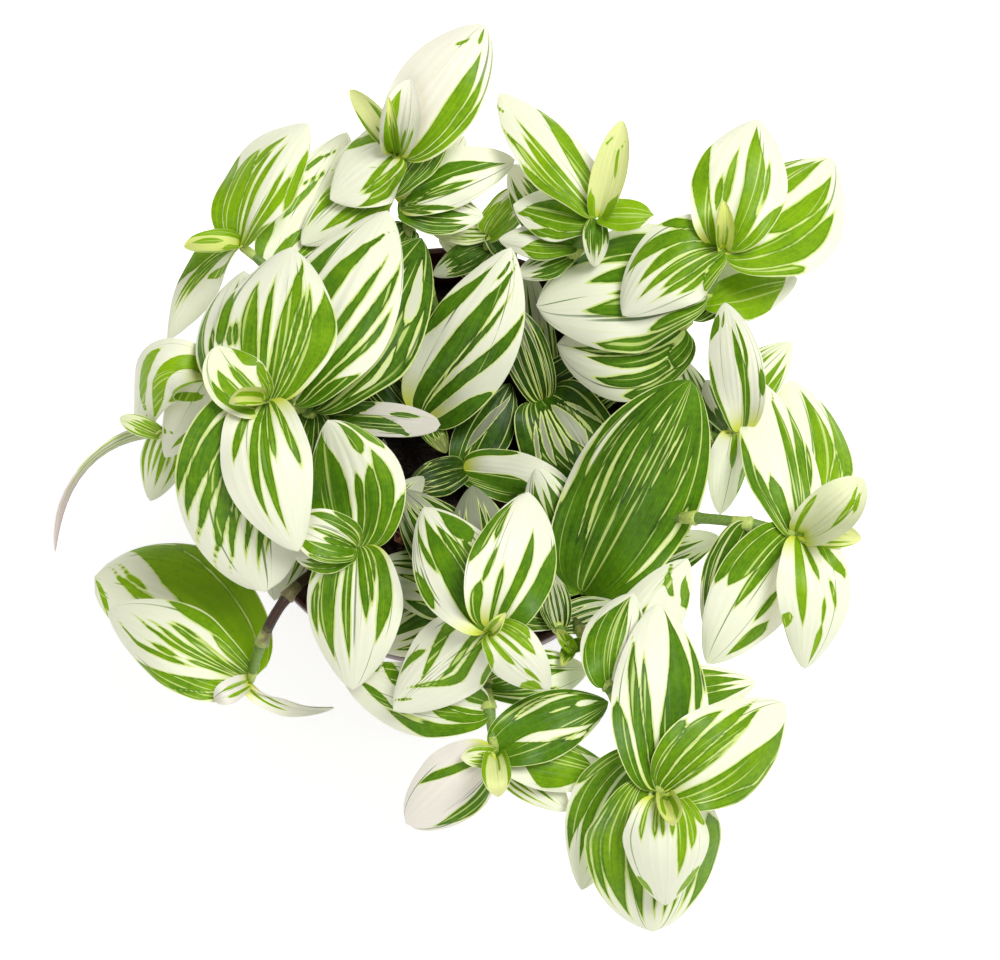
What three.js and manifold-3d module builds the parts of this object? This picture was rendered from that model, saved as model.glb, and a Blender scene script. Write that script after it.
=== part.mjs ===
// A potted tradescantia, the white-striped kind, in a 12 cm plastic nursery pot filled with soil.
// Millimetres, +Z up. The origin is the middle of the pot's foot, and -Y is the front.
import * as THREE from "three";
import { mergeVertices } from "three/addons/utils/BufferGeometryUtils.js";
import Module from "manifold-3d";

const wasm = await Module();
wasm.setup();

// Driving dimensions
const potHeight = 100;
const rimRadius = 60;
const footRadius = 43;
const wall = 1.8;
const floorThickness = 2.4;
const lipHeight = 10;
const lipStep = 2;
const drainHoleRadius = 3.5;
const drainHoleCircle = 29;
const drainHoles = 6;
const potSides = 32;
const soilBelowRim = 14;
const stemRadius = 1.7;
const rootRadius = 2.1;
const rootDepth = 16;
const footAboveSoil = 3.5;
const bladeThickness = 0.8;
const bladeRows = [
  { upTo: 14, rows: [0, 0.5] },
  { upTo: 22, rows: [0, 0.35, 0.75] },
  { upTo: 36, rows: [0, 0.22, 0.52, 0.82] },
  { upTo: Infinity, rows: [0, 0.14, 0.37, 0.63, 0.86] },
];
const sheathHalfWidth = 1.4;
const clearance = 0.35;

// A blade's outline swells from the stem by one power and narrows to the tip by the other. The lower the
// second is, the blunter the tip.
const swellPower = 0.55;
const pointPower = 0.68;

// How far the leaves keep apart, the way that they give to each other, up and a little to the front,
// and the most that each of their three bends may give
const leafGap = 2;
const giveTilt = THREE.MathUtils.degToRad(14);
const mostLift = 14;
const mostSag = 8;
const mostTwist = 6;
const bendRounds = 160;

const soilTop = potHeight - soilBelowRim;
const up = new THREE.Vector3(0, 0, 1);
const give = new THREE.Vector3(0, -Math.sin(giveTilt), Math.cos(giveTilt));

// Every leafy stem: where it roots (x, y), the point its curve leans on, its growing tip, and its
// leaves from the tip down. A leaf is
// [millimetres below the tip, compass degrees, reach, rise, width, arch, bow, roll degrees, curl].
// Arch lifts the middle of the leaf and bow pushes it to the left of its direction. Curl is 0 for an
// open leaf and 1 for a young one that is still rolled. A tenth number is the leaf's own point power.
const stems = {
  stem_back_left: {
    root: [-26, 26], lean: [-50, 48, 124], tip: [-58, 54, 118],
    leaves: [
      [0, 60, 38, 7, 23, 4, 3, -12, 0],
      [0, 184, 15, 1, 9, 1, 0, 0, 0.6],
      [1, 223, 31, -17, 19, 6, -4, 35, 0.1],
      [12, 64, 46, 2, 19, 4, 0, -8, 0],
      [18, 74, 34, -10, 18, 5, 0, 0, 0],
    ],
  },
  stem_left: {
    root: [-28, 4], lean: [-32, 4, 134], tip: [-48, 2, 142],
    leaves: [
      [0, 132, 17, 8, 17, 2, 2, 0, 0.35],
      [0, 205, 8, 10, 8, 1, 0, 0, 0.9],
      [1, 84, 46, -9, 33, 6, 0, 0, 0],
      [1, 283, 39, -9, 24, 7, -3, 0, 0],
      [3, 266, 46, -24, 36, 8, -6.5, 0, 0, 0.5],
      [4, 105, 44, -18, 24, 7, 6, 0, 0],
      [9, 67, 63, -10, 33, 6, 0, 0, 0],
      [17, 61, 61, -14, 34, 6, 0, 0, 0],
      [19, 256, 48, -26, 24, 6, 0, 0, 0],
      [26, 356, 32, 0, 10, 2, 0, 0, 0.2, 0.5],
      [28, 92, 36, -12, 22, 5, 0, 0, 0],
    ],
  },
  stem_far_left: {
    root: [-42, 12], lean: [-54, 14, 130], tip: [-65, 14, 125],
    leaves: [
      [0, 210, 25, -18, 18, 9, -7, 0, 0],
      [1, 236, 23, -14, 15, 5, 0, 0, 0],
      [0, 150, 8, 2, 8, 1, 0, 0, 0.5],
    ],
  },
  stem_left_edge: {
    root: [-44, -2], lean: [-60, 1, 124], tip: [-79, 1, 112],
    leaves: [
      [0, 224, 42, -16, 8, 3, -8, 75, 0.6],
      [3, 250, 18, -8, 12, 3, 0, 0, 0],
      [0, 155, 11, 1, 6, 1, 0, 0, 0.4],
    ],
  },
  stem_back: {
    root: [-22, 42], lean: [-18, 66, 130], tip: [-14, 77, 128],
    leaves: [
      [0, 53, 40, 13, 25, 2, -1, 15, 0],
      [0, 208, 21, -12, 22, 5, 0, 0, 0],
      [8, 212, 29, -9, 17, 3, 0, -20, 0],
      [0, 77, 16, 15, 13, 1, 0, 0, 0.5],
      [0, 100, 11, 12, 5, 1, 0, 0, 1],
      [0, 127, 22, 2, 8, 1, 0, 0, 0.5],
      [12, 60, 32, -8, 17, 4, 0, 0, 0],
    ],
  },
  stem_back_lower: {
    root: [-2, 36], lean: [-10, 58, 118], tip: [-14, 67, 116],
    leaves: [
      [0, 18, 34, 6, 17, 4, 0, 15, 0],
      [2, 352, 23, 3, 14, 3, 0, 0, 0],
      [6, 58, 30, 2, 14, 2, 0, 10, 0],
      [8, 235, 22, -8, 14, 3, 0, 0, 0],
    ],
  },
  stem_rim: {
    root: [10, 40], lean: [10, 57, 102], tip: [11, 61, 107],
    leaves: [
      [0, 40, 16, 12, 12, 2, 0, 0, 0.3],
      [0, 182, 16, 3, 8, 1, 0, 0, 0.4],
      [0, 316, 11, -3, 7, 1, 0, 0, 0.2],
      [4, 205, 17, -4, 9, 2, 0, 0, 0],
      [14, 140, 16, 6, 9, 2, 0, 0, 0],
      [8, 155, 15, -1, 7, 1, 0, 0, 0.2],
    ],
  },
  stem_middle_left: {
    root: [-9, 9], lean: [-8, 9, 94], tip: [-7, 9, 101],
    leaves: [
      [0, 59, 47, 28, 27, 4, -2, 0, 0, 0.8],
      [1, 300, 13, 5, 9, 1, 0, 0, 0.6],
      [4, 128, 34, 6, 20, 4, 0, 0, 0],
    ],
  },
  stem_back_right: {
    root: [24, 38], lean: [36, 52, 134], tip: [41, 57, 132],
    leaves: [
      [0, 125, 47, -6, 18, 3, 0, 8, 0],
      [0, 75, 23, 14, 11, 1, 0, 0, 0.5],
      [0, 357, 15, 2, 10, 1, 0, 0, 0.2],
      [2, 161, 23, -7, 17, 3, 0, 0, 0],
      [11, 170, 22, -6, 11, 2, 0, 0, 0],
      [1, 268, 11, -8, 8, 1, 0, 0, 0.3],
      [15, 196, 16, -4, 9, 1, 0, 0, 0],
      [12, 122, 34, -12, 17, 3, 0, 0, 0],
    ],
  },
  stem_right_upper: {
    root: [41, 14], lean: [75, 34, 131], tip: [74, 48, 135],
    leaves: [
      [0, 95, 8, 12, 9, 1, 0, 0, 0.9],
      [1, 74, 36, 6, 26, 5, 0, 0, 0],
      [2, 44, 45, -10, 34, 6, -4, 0, 0],
      [1, 211, 31, -10, 24, 5, -3, 0, 0],
      [14, 180, 46, -12, 37, 7, -2, 0, 0, 0.6],
      [18, 20, 30, -10, 22, 5, 2, 0, 0],
      [27, 184, 34, -9, 30, 5, 5, 0, 0],
      [24, 60, 34, -8, 20, 4, 0, 0, 0],
    ],
  },
  stem_right_middle: {
    root: [47, -4], lean: [66, -3, 126], tip: [79, -1, 124],
    leaves: [
      [0, 98, 34, 6, 14, 4, 0, 12, 0],
      [12, 48, 40, -6, 17, 3, 0, 0, 0],
      [2, 114, 17, -4, 10, 2, 0, 0, 0],
      [2, 262, 20, -13, 12, 3, 0, 0, 0],
      [12, 104, 25, 0, 13, 3, 0, 0, 0],
      [8, 240, 16, -10, 9, 2, 0, 0, 0.2],
    ],
  },
  stem_middle_right: {
    root: [34, -35], lean: [36, -38, 92], tip: [37, -40, 99],
    leaves: [
      [0, 61, 58, 33, 36, 5, 0, 0, 0],
      [1, 112, 34, 14, 19, 3, 0, 0, 0],
      [3, 20, 40, 8, 15, 3, 0, 0, 0],
    ],
  },
  stem_middle_back: {
    root: [28, 18], lean: [27, 17, 90], tip: [26, 16, 95],
    leaves: [
      [0, 301, 30, 5, 28, 4, 0, 0, 0],
      [0, 111, 25, 15, 13, 2, 0, 0, 0],
      [2, 98, 37, 12, 12, 2, 0, 0, 0],
      [2, 20, 28, 8, 20, 3, 0, 0, 0],
    ],
  },
  stem_middle: {
    root: [4, -5], lean: [4, -5, 90], tip: [4, -4, 93],
    leaves: [
      [0, 347, 31, 7, 15, 3, 0, 0, 0],
      [0, 205, 17, 6, 11, 2, 0, 0, 0],
      [1, 62, 28, 4, 16, 3, 0, 0, 0],
    ],
  },
  stem_right: {
    root: [45, -18], lean: [67, -26, 140], tip: [94, -30, 125],
    leaves: [
      [1, 102, 45, -3, 20, 6, 0, 8, 0],
      [3, 86, 46, -12, 28, 6, -4, 0, 0],
      [0, 42, 19, 11, 14, 2, 0, 0, 0.4],
      [0, 354, 15, 3, 9, 1, 0, 0, 0.5],
      [0, 272, 33, -15, 20, 6, 2, 0, 0],
      [4, 282, 30, -10, 11, 4, 0, 0, 0],
      [2, 235, 40, -12, 24, 5, 0, 0, 0],
      [14, 256, 34, -16, 19, 5, 0, 0, 0],
    ],
  },
  stem_front_left: {
    root: [-20, -22], lean: [-22, -30, 122], tip: [-24, -34, 127],
    leaves: [
      [1, 103, 35, 2, 27, 4, -3, 0, 0],
      [0, 160, 18, 3, 15, 2, 0, 0, 0.3],
      [0, 184, 16, -4, 13, 3, 0, 0, 0.1],
      [1, 268, 36, -13, 26, 6, 0, 0, 0],
      [13, 82, 30, -6, 9, 2, 0, 0, 0.2],
      [17, 52, 24, -6, 10, 2, 0, 0, 0.3],
    ],
  },
  stem_front: {
    root: [10, -28], lean: [12, -48, 128], tip: [12, -58, 137],
    leaves: [
      [0, 45, 5, 7, 6, 0, 0, 0, 0.9],
      [1, 75, 37, 2, 23, 5, -1, 0, 0],
      [1, 118, 38, -6, 24, 5, 0, 0, 0],
      [15, 126, 42, -12, 20, 5, 0, 0, 0],
      [10, 98, 37, -11, 19, 4, 0, 0, 0],
      [1, 216, 32, -17, 22, 7, 0, 0, 0],
      [0, 319, 20, -10, 15, 4, 0, 0, 0],
      [20, 163, 34, -8, 20, 4, 0, 0, 0],
      [24, 200, 34, -16, 22, 5, 0, 0, 0],
    ],
  },
  stem_front_bud: {
    root: [23, -42], lean: [28, -47, 112], tip: [33, -59, 116],
    leaves: [
      [0, 130, 6, 4, 6, 0, 0, 0, 0.8],
      [0, 12, 6, 4, 6, 0, 0, 0, 0.8],
      [0, 245, 6, 4, 6, 0, 0, 0, 0.8],
      [8, 100, 16, -1, 9, 1, 0, 0, 0.2],
      [10, 20, 18, -3, 10, 2, 0, 0, 0],
      [12, 165, 16, -2, 9, 2, 0, 0, 0],
    ],
  },
  stem_front_low: {
    root: [8, -46], lean: [10, -66, 132], tip: [13, -88, 118],
    leaves: [
      [0, 274, 11, 7, 9, 1, 0, 0, 0.5],
      [1, 25, 33, -2, 18, 4, 1, 0, 0],
      [1, 350, 33, -8, 15, 4, 0, 0, 0],
      [1, 215, 29, -16, 20, 5, 0, 0, 0, 0.5],
      [2, 322, 25, -8, 13, 3, 0, 0, 0],
      [0, 182, 9, 2, 7, 1, 0, 0, 0.4],
      [13, 163, 42, -14, 20, 5, 3, 0, 0],
      [20, 12, 28, -10, 16, 4, 0, 0, 0],
    ],
  },
  stem_front_right: {
    root: [28, -33], lean: [38, -62, 136], tip: [57, -100, 123],
    leaves: [
      [0, 280, 7, 7, 9, 1, 0, 0, 0.8],
      [3, 90, 49, 2, 26, 5, 0, 0, 0],
      [2, 38, 42, -11, 28, 5, 0, 0, 0],
      [1, 272, 26, -16, 22, 6, 0, 0, 0],
      [6, 271, 38, -26, 37, 8, 0, 0, 0, 0.5],
      [12, 244, 36, -26, 21, 7, -3, 0, 0],
      [33, 76, 27, -4, 17, 3, 2, 0, 0],
      [34, 57, 40, 0, 18, 4, 0, 0, 0],
      [26, 15, 38, -14, 17, 4, 0, 0, 0],
      [19, 330, 30, -16, 18, 4, 0, 0, 0],
    ],
  },
  stem_hanging: {
    root: [-30, -30], lean: [-44, -42, 138], tip: [-55, -64, 90],
    leaves: [
      [2, 148, 56, -7, 36, 9, -6, 0, 0, 0.5],
      [1, 151, 47, -15, 23, 6, 0.5, -25, 0],
      [0, 200, 9, -2, 8, 1, 0, 0, 0.5],
      [0, 347, 23, -12, 7, 2, -4, 65, 0.4],
    ],
  },
};

const materials = {
  pot: new THREE.MeshStandardMaterial({ color: 0x3a0f0c, roughness: 0.45, metalness: 0 }),
  soil: new THREE.MeshStandardMaterial({ color: 0x1d1511, roughness: 1, metalness: 0 }),
  foliage: new THREE.MeshStandardMaterial({ color: 0x7fa64a, roughness: 0.4, metalness: 0 }),
};

// A closed surface as a solid that can be joined and cut
function solidOf(geometry) {
  const bare = geometry.clone();
  bare.deleteAttribute("normal");
  bare.deleteAttribute("uv");
  const merged = mergeVertices(bare, 1e-4);
  const vertProperties = new Float32Array(merged.attributes.position.array);
  const triVerts = new Uint32Array(merged.index.array);
  return new wasm.Manifold(new wasm.Mesh({ numProp: 3, vertProperties, triVerts }));
}

// The solid back as a geometry
function geometryOf(solid) {
  const mesh = solid.getMesh();
  const geometry = new THREE.BufferGeometry();
  geometry.setAttribute("position", new THREE.BufferAttribute(new Float32Array(mesh.vertProperties), 3));
  geometry.setIndex(new THREE.BufferAttribute(new Uint32Array(mesh.triVerts), 1));
  geometry.computeVertexNormals();
  return geometry;
}

// A turned shape from its outline, [radius, height] from the lower axis round to the upper axis
function turned(outline) {
  const points = outline.map(([radius, height]) => new THREE.Vector2(radius, height));
  const geometry = new THREE.LatheGeometry(points, potSides);
  return solidOf(geometry.rotateX(Math.PI / 2));
}

// Radius of the pot's outer wall below the lip
function bodyRadius(height) {
  return THREE.MathUtils.mapLinear(height, 0, potHeight, footRadius, rimRadius - lipStep);
}

// The pot: tapered wall, and a wider band at the top that pots hang on when they are stacked
function potSolid(grow) {
  const shoulder = potHeight - lipHeight;
  const cup = turned([
    [0, -grow],
    [footRadius + grow, -grow],
    [bodyRadius(shoulder) + grow, shoulder - grow],
    [rimRadius - 0.4 + grow, shoulder - grow],
    [rimRadius + grow, potHeight - 0.8],
    [rimRadius - 0.7 + grow, potHeight + grow],
    [rimRadius - wall - grow, potHeight + grow],
    [rimRadius - wall - 0.4 - grow, shoulder + wall],
    [bodyRadius(shoulder) - wall - grow, shoulder],
    [bodyRadius(0) - wall - grow, floorThickness + grow],
    [0, floorThickness + grow],
  ]);
  const holes = [];
  for (let hole = 0; hole < drainHoles; hole += 1) {
    const angle = (hole + 0.5) * (2 * Math.PI / drainHoles);
    const drill = new THREE.CylinderGeometry(drainHoleRadius, drainHoleRadius, 4 * floorThickness, 16);
    drill.rotateX(Math.PI / 2);
    drill.translate(drainHoleCircle * Math.cos(angle), drainHoleCircle * Math.sin(angle), 0);
    holes.push(solidOf(drill));
  }
  return cup.subtract(wasm.Manifold.union(holes));
}

// The soil: fills the pot up to a slightly uneven top
function soilSolid() {
  return turned([
    [0, floorThickness + clearance],
    [bodyRadius(0) - wall - clearance, floorThickness + clearance],
    [bodyRadius(soilTop - 1) - wall - clearance, soilTop - 1],
    [0.72 * rimRadius, soilTop + 0.8],
    [0.45 * rimRadius, soilTop - 0.6],
    [0.2 * rimRadius, soilTop + 0.6],
    [0, soilTop],
  ]);
}

// A stem's line from the soil to its growing tip
function stemLine(stem) {
  return new THREE.QuadraticBezierCurve3(
    new THREE.Vector3(stem.root[0], stem.root[1], soilTop + 2),
    new THREE.Vector3(...stem.lean),
    new THREE.Vector3(...stem.tip),
  );
}

// The stem as a solid: a six-sided rod along its line, and its foot, which stands in the soil
function stemSolid(stem, grow) {
  const section = new THREE.Shape();
  const sides = 6;
  for (let side = 0; side < sides; side += 1) {
    const angle = 2 * Math.PI * side / sides;
    const x = (stemRadius + grow) * Math.cos(angle);
    const y = (stemRadius + grow) * Math.sin(angle);
    if (side === 0) {
      section.moveTo(x, y);
    } else {
      section.lineTo(x, y);
    }
  }
  section.closePath();
  const line = stemLine(stem);
  const steps = Math.max(2, Math.round(line.getLength() / 12));
  const rod = new THREE.ExtrudeGeometry(section, { extrudePath: line, steps, bevelEnabled: false });
  return solidOf(rod).add(footSolid(stem, grow));
}

// The straight foot of a stem, from its lower end in the soil to just above the soil
function footSolid(stem, grow) {
  const length = rootDepth + footAboveSoil + grow;
  const foot = new THREE.CylinderGeometry(rootRadius + grow, rootRadius + grow, length, 6);
  foot.rotateX(Math.PI / 2);
  foot.translate(stem.root[0], stem.root[1], soilTop + footAboveSoil - length / 2);
  return solidOf(foot);
}

// A leaf from its row: the midrib is one bent line from the stem to the leaf's tip
function leafOf(name, row) {
  const [below, compass, reach, rise, width, arch, bow, roll, curl, point = pointPower] = row;
  const line = stemLine(stems[name]);
  const base = line.getPointAt(1 - below / line.getLength());
  const angle = THREE.MathUtils.degToRad(compass);
  const ahead = new THREE.Vector3(Math.cos(angle), Math.sin(angle), 0);
  const left = new THREE.Vector3(-ahead.y, ahead.x, 0);
  const end = base.clone().addScaledVector(ahead, reach).addScaledVector(up, rise);
  const knee = base.clone().lerp(end, 0.45).addScaledVector(up, 2 * arch).addScaledVector(left, 2 * bow);
  const midrib = new THREE.QuadraticBezierCurve3(base, knee, end);
  const turn = THREE.MathUtils.degToRad(roll);
  return { name, below, left, midrib, width, roll: turn, curl, point, lift: 0, sag: 0, twist: 0 };
}

// Half the width of a leaf along its length: egg-shaped, widest near the middle, with a pointed tip
function halfWidth(leaf, t) {
  const swell = (along) => Math.pow(along, swellPower) * Math.pow(1 - along, leaf.point);
  const outline = swell(t) / swell(swellPower / (swellPower + leaf.point));
  return 0.5 * leaf.width * outline + sheathHalfWidth * Math.pow(1 - t, 10);
}

// A point of the blade as it grew, before it is bent clear of its neighbours. u runs from the right
// edge, -1, to the left edge, 1, and t from the stem to the tip. The blade is a trough at its base and
// domed further out.
function grownPoint(leaf, u, t) {
  const ahead = leaf.midrib.getTangent(t);
  const left = leaf.left.clone().addScaledVector(ahead, -leaf.left.dot(ahead)).normalize();
  const above = ahead.clone().cross(left);
  const side = left.clone().multiplyScalar(Math.cos(leaf.roll)).addScaledVector(above, Math.sin(leaf.roll));
  const normal = above.clone().multiplyScalar(Math.cos(leaf.roll)).addScaledVector(left, -Math.sin(leaf.roll));
  const half = halfWidth(leaf, t);
  const trough = 0.55 * (1 - THREE.MathUtils.smoothstep(t, 0, 0.4)) + 0.9 * leaf.curl;
  const dome = 0.3 * (1 - leaf.curl) * THREE.MathUtils.smoothstep(t, 0.1, 0.5);
  const height = half * (trough * Math.abs(u) - dome * u * u);
  const point = leaf.midrib.getPoint(t).addScaledVector(side, u * half).addScaledVector(normal, height);
  return { point, normal };
}

// How much each of a leaf's three bends lifts the point u, t
function bends(u, t) {
  const middle = 4 * t * (1 - t);
  return [t, middle, u * middle];
}

// The same point once the leaf is bent clear
function bentPoint(leaf, u, t) {
  const { point, normal } = grownPoint(leaf, u, t);
  const [lift, sag, twist] = bends(u, t);
  const shift = leaf.lift * lift + leaf.sag * sag + leaf.twist * twist;
  return { point: point.addScaledVector(give, shift), normal };
}

// Leaves that lie over each other are bent apart: each pair keeps its order, the younger leaf of a stem
// over the older, and both give way a little at a time until leafGap lies between them.
function bendClear(leaves) {
  const cell = 2;
  const cells = new Map();
  leaves.forEach((leaf, index) => {
    for (let i = 0; i <= 20; i += 1) {
      for (let j = 1; j <= 36; j += 1) {
        const u = -1 + i / 10;
        const t = j / 36;
        const { point } = grownPoint(leaf, u, t);
        const height = point.dot(give);
        const column = Math.round(point.x / cell);
        const row = Math.round((point.y * give.z - point.z * give.y) / cell);
        const key = 4096 * column + row;
        if (!cells.has(key)) {
          cells.set(key, new Map());
        }
        cells.get(key).set(index, { index, u, t, height });
      }
    }
  });
  const pairs = new Map();
  for (const held of cells.values()) {
    const found = [...held.values()];
    for (let a = 0; a < found.length; a += 1) {
      for (let b = a + 1; b < found.length; b += 1) {
        const [low, high] = found[a].index < found[b].index ? [found[a], found[b]] : [found[b], found[a]];
        const key = low.index * leaves.length + high.index;
        if (!pairs.has(key)) {
          pairs.set(key, []);
        }
        pairs.get(key).push([low, high]);
      }
    }
  }
  const meetings = [];
  for (const shared of pairs.values()) {
    const one = leaves[shared[0][0].index];
    const other = leaves[shared[0][1].index];
    let order = one.name === other.name ? other.below - one.below : 0;
    if (order === 0) {
      for (const [low, high] of shared) {
        order += low.height - high.height;
      }
    }
    for (const [low, high] of shared) {
      const [over, under] = order > 0 ? [low, high] : [high, low];
      const sameStem = leaves[over.index].name === leaves[under.index].name;
      const near = Math.min(over.t, under.t);
      const gap = sameStem ? leafGap * Math.min(1, 2.5 * near) : leafGap;
      meetings.push({ over, under, gap });
    }
  }
  for (let round = 0; round < bendRounds; round += 1) {
    const push = leaves.map(() => [0, 0, 0]);
    const weight = leaves.map(() => [1, 1, 1]);
    for (const { over, under, gap } of meetings) {
      const a = leaves[over.index];
      const b = leaves[under.index];
      const wa = bends(over.u, over.t);
      const wb = bends(under.u, under.t);
      const shiftA = a.lift * wa[0] + a.sag * wa[1] + a.twist * wa[2];
      const shiftB = b.lift * wb[0] + b.sag * wb[1] + b.twist * wb[2];
      const short = gap - (over.height + shiftA - under.height - shiftB);
      if (short > 0) {
        for (let bend = 0; bend < 3; bend += 1) {
          push[over.index][bend] += short * wa[bend];
          weight[over.index][bend] += wa[bend] * wa[bend];
          push[under.index][bend] -= short * wb[bend];
          weight[under.index][bend] += wb[bend] * wb[bend];
        }
      }
    }
    leaves.forEach((leaf, index) => {
      const part = push[index].map((sum, bend) => 0.25 * sum / weight[index][bend]);
      leaf.lift = THREE.MathUtils.clamp(leaf.lift + part[0], -mostLift, mostLift);
      leaf.sag = THREE.MathUtils.clamp(leaf.sag + part[1], -mostSag, mostSag);
      leaf.twist = THREE.MathUtils.clamp(leaf.twist + part[2], -mostTwist, mostTwist);
    });
  }
}

// A blade as a solid: three points across and a few along, the same triangles on both faces
function bladeSolid(leaf, grow) {
  const length = leaf.midrib.getLength();
  const rows = bladeRows.find(({ upTo }) => length < upTo).rows;
  const offset = 0.5 * bladeThickness + grow;
  const position = [];
  const index = [];
  const place = (u, t) => {
    const { point, normal } = bentPoint(leaf, u, t);
    const side = leaf.left.clone().multiplyScalar(Math.sign(u) * grow);
    const top = point.clone().add(side).addScaledVector(normal, offset);
    const bottom = point.clone().add(side).addScaledVector(normal, -offset);
    position.push(...top.toArray(), ...bottom.toArray());
    return position.length / 3 - 2;
  };
  const grid = rows.map((t) => [-1, 0, 1].map((u) => place(u, t)));
  const tip = place(0, 1);
  const quad = (a, b, c, d) => index.push(a, b, c, a, c, d);
  for (let row = 0; row < grid.length - 1; row += 1) {
    for (let column = 0; column < 2; column += 1) {
      const a = grid[row][column];
      const b = grid[row][column + 1];
      const c = grid[row + 1][column + 1];
      const d = grid[row + 1][column];
      index.push(a, d, c, a, c, b);
      index.push(a + 1, c + 1, d + 1, a + 1, b + 1, c + 1);
    }
    quad(grid[row][0], grid[row][0] + 1, grid[row + 1][0] + 1, grid[row + 1][0]);
    quad(grid[row][2], grid[row + 1][2], grid[row + 1][2] + 1, grid[row][2] + 1);
  }
  const last = grid[grid.length - 1];
  for (let column = 0; column < 2; column += 1) {
    index.push(last[column], tip, last[column + 1]);
    index.push(last[column] + 1, last[column + 1] + 1, tip + 1);
    quad(grid[0][column], grid[0][column + 1], grid[0][column + 1] + 1, grid[0][column] + 1);
  }
  quad(last[0], last[0] + 1, tip + 1, tip);
  quad(last[2], tip, tip + 1, last[2] + 1);
  const geometry = new THREE.BufferGeometry();
  geometry.setAttribute("position", new THREE.Float32BufferAttribute(position, 3));
  geometry.setIndex(index);
  return solidOf(geometry);
}

// The largest piece of a solid, without the scraps that a cut left loose
function largest(solid) {
  return solid.decompose().sort((a, b) => b.volume() - a.volume())[0];
}

const names = Object.keys(stems);
const leaves = [];
for (const name of names) {
  for (const row of stems[name].leaves) {
    leaves.push(leafOf(name, row));
  }
}
bendClear(leaves);

// Each stem's leaves are cut clear of every other stem, of the pot and soil, and of the leaves of the
// stems before it, and are then joined to their own stem.
const rods = names.map((name) => stemSolid(stems[name], 0));
const thickRods = names.map((name) => stemSolid(stems[name], clearance));
const pot = potSolid(0);
const earth = soilSolid();
const keepOut = potSolid(clearance).add(earth.translate([0, 0, clearance]));
const shoots = [];
let taken = keepOut;
names.forEach((name, index) => {
  const own = leaves.filter((leaf) => leaf.name === name);
  const others = thickRods.filter((rod, other) => other !== index);
  const blades = wasm.Manifold.union(own.map((leaf) => bladeSolid(leaf, 0)));
  const free = blades.subtract(taken).subtract(wasm.Manifold.union(others));
  shoots.push(largest(rods[index].add(free)));
  taken = taken.add(wasm.Manifold.union(own.map((leaf) => bladeSolid(leaf, clearance))));
});
const footHoles = names.map((name) => footSolid(stems[name], clearance));
const soil = earth.subtract(wasm.Manifold.union(footHoles));

const plant = new THREE.Group();
function addMesh(name, solid, material) {
  const mesh = new THREE.Mesh(geometryOf(solid), material);
  mesh.name = name;
  plant.add(mesh);
}
addMesh("pot", pot, materials.pot);
addMesh("soil", soil, materials.soil);
names.forEach((name, index) => addMesh(name, shoots[index], materials.foliage));

export default plant;
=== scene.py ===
# %% [markdown]
# # A potted tradescantia
# This lesson dresses a small houseplant: a trailing spiderwort with white-striped leaves, rooted in a
# dark plastic nursery pot. The solids of the plant were made elsewhere in millimetres and are loaded
# here as a fixed frame, in metres. Each step then lays a finer piece over one of those solids and keeps
# its place and form. A piece that is looked at from above, as here, is carried by its leaves, so most of
# the work goes into how a leaf is bent, how thick it is and how its stripes run.

# %% Load the frame
import math
import random

import bmesh
import bpy
import numpy as np
from mathutils import Matrix, Quaternion, Vector, noise


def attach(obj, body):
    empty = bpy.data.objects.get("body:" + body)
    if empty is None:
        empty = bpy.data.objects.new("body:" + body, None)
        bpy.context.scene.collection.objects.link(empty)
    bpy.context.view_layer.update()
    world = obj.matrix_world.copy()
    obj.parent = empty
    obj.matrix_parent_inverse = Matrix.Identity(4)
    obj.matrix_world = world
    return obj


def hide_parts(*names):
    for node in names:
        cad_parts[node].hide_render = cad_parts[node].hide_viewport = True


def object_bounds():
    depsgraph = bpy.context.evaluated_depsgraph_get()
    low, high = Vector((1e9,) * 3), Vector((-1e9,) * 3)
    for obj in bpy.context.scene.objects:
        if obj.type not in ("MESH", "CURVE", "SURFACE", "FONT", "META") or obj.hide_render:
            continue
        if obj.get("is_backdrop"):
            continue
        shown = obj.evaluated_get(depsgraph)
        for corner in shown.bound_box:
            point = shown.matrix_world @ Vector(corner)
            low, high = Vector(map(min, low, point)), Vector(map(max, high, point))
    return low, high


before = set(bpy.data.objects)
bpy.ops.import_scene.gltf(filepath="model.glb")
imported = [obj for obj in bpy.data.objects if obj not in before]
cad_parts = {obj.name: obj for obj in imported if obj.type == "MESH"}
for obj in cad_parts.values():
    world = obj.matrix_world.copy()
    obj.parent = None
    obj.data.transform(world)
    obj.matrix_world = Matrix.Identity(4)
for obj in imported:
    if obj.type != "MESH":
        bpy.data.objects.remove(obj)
solid_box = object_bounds()
MM = 0.001
print("nodes in the frame:", len(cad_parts))

# %% [markdown]
# ## The camera
# The plant was photographed from above and a little from the front, from about 60 cm away. A camera that
# stands that steeply sees the leaves flat on and the pot hardly at all. The lens is long for so small a
# subject, which keeps the near leaves from looking larger than the far ones.

# %% Place the camera
camera_at = Vector((14.2, -164.9, 726.6)) * MM
camera_looks_at = Vector((14.2, -14.9, 125.0)) * MM
lens_mm = 83.6

camera_data = bpy.data.cameras.new("camera")
camera_data.lens = lens_mm
camera_data.sensor_width = 36.0
camera_data.clip_start = 0.01
camera = bpy.data.objects.new("camera", camera_data)
camera.location = camera_at
camera.rotation_mode = "QUATERNION"
camera.rotation_quaternion = (camera_looks_at - camera_at).to_track_quat("-Z", "Y")
bpy.context.scene.collection.objects.link(camera)
bpy.context.scene.camera = camera
print("camera distance, mm:", round((camera_looks_at - camera_at).length / MM))

# %% [markdown]
# ## Colour and nodes
# Colours are picked as sRGB hex values, which is how a screen shows them. Blender's shaders count in
# linear light, so one function turns a hex value into linear red, green and blue. A second small function
# adds any node, with its settings and its links, so that each material below reads as a short list.

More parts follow.
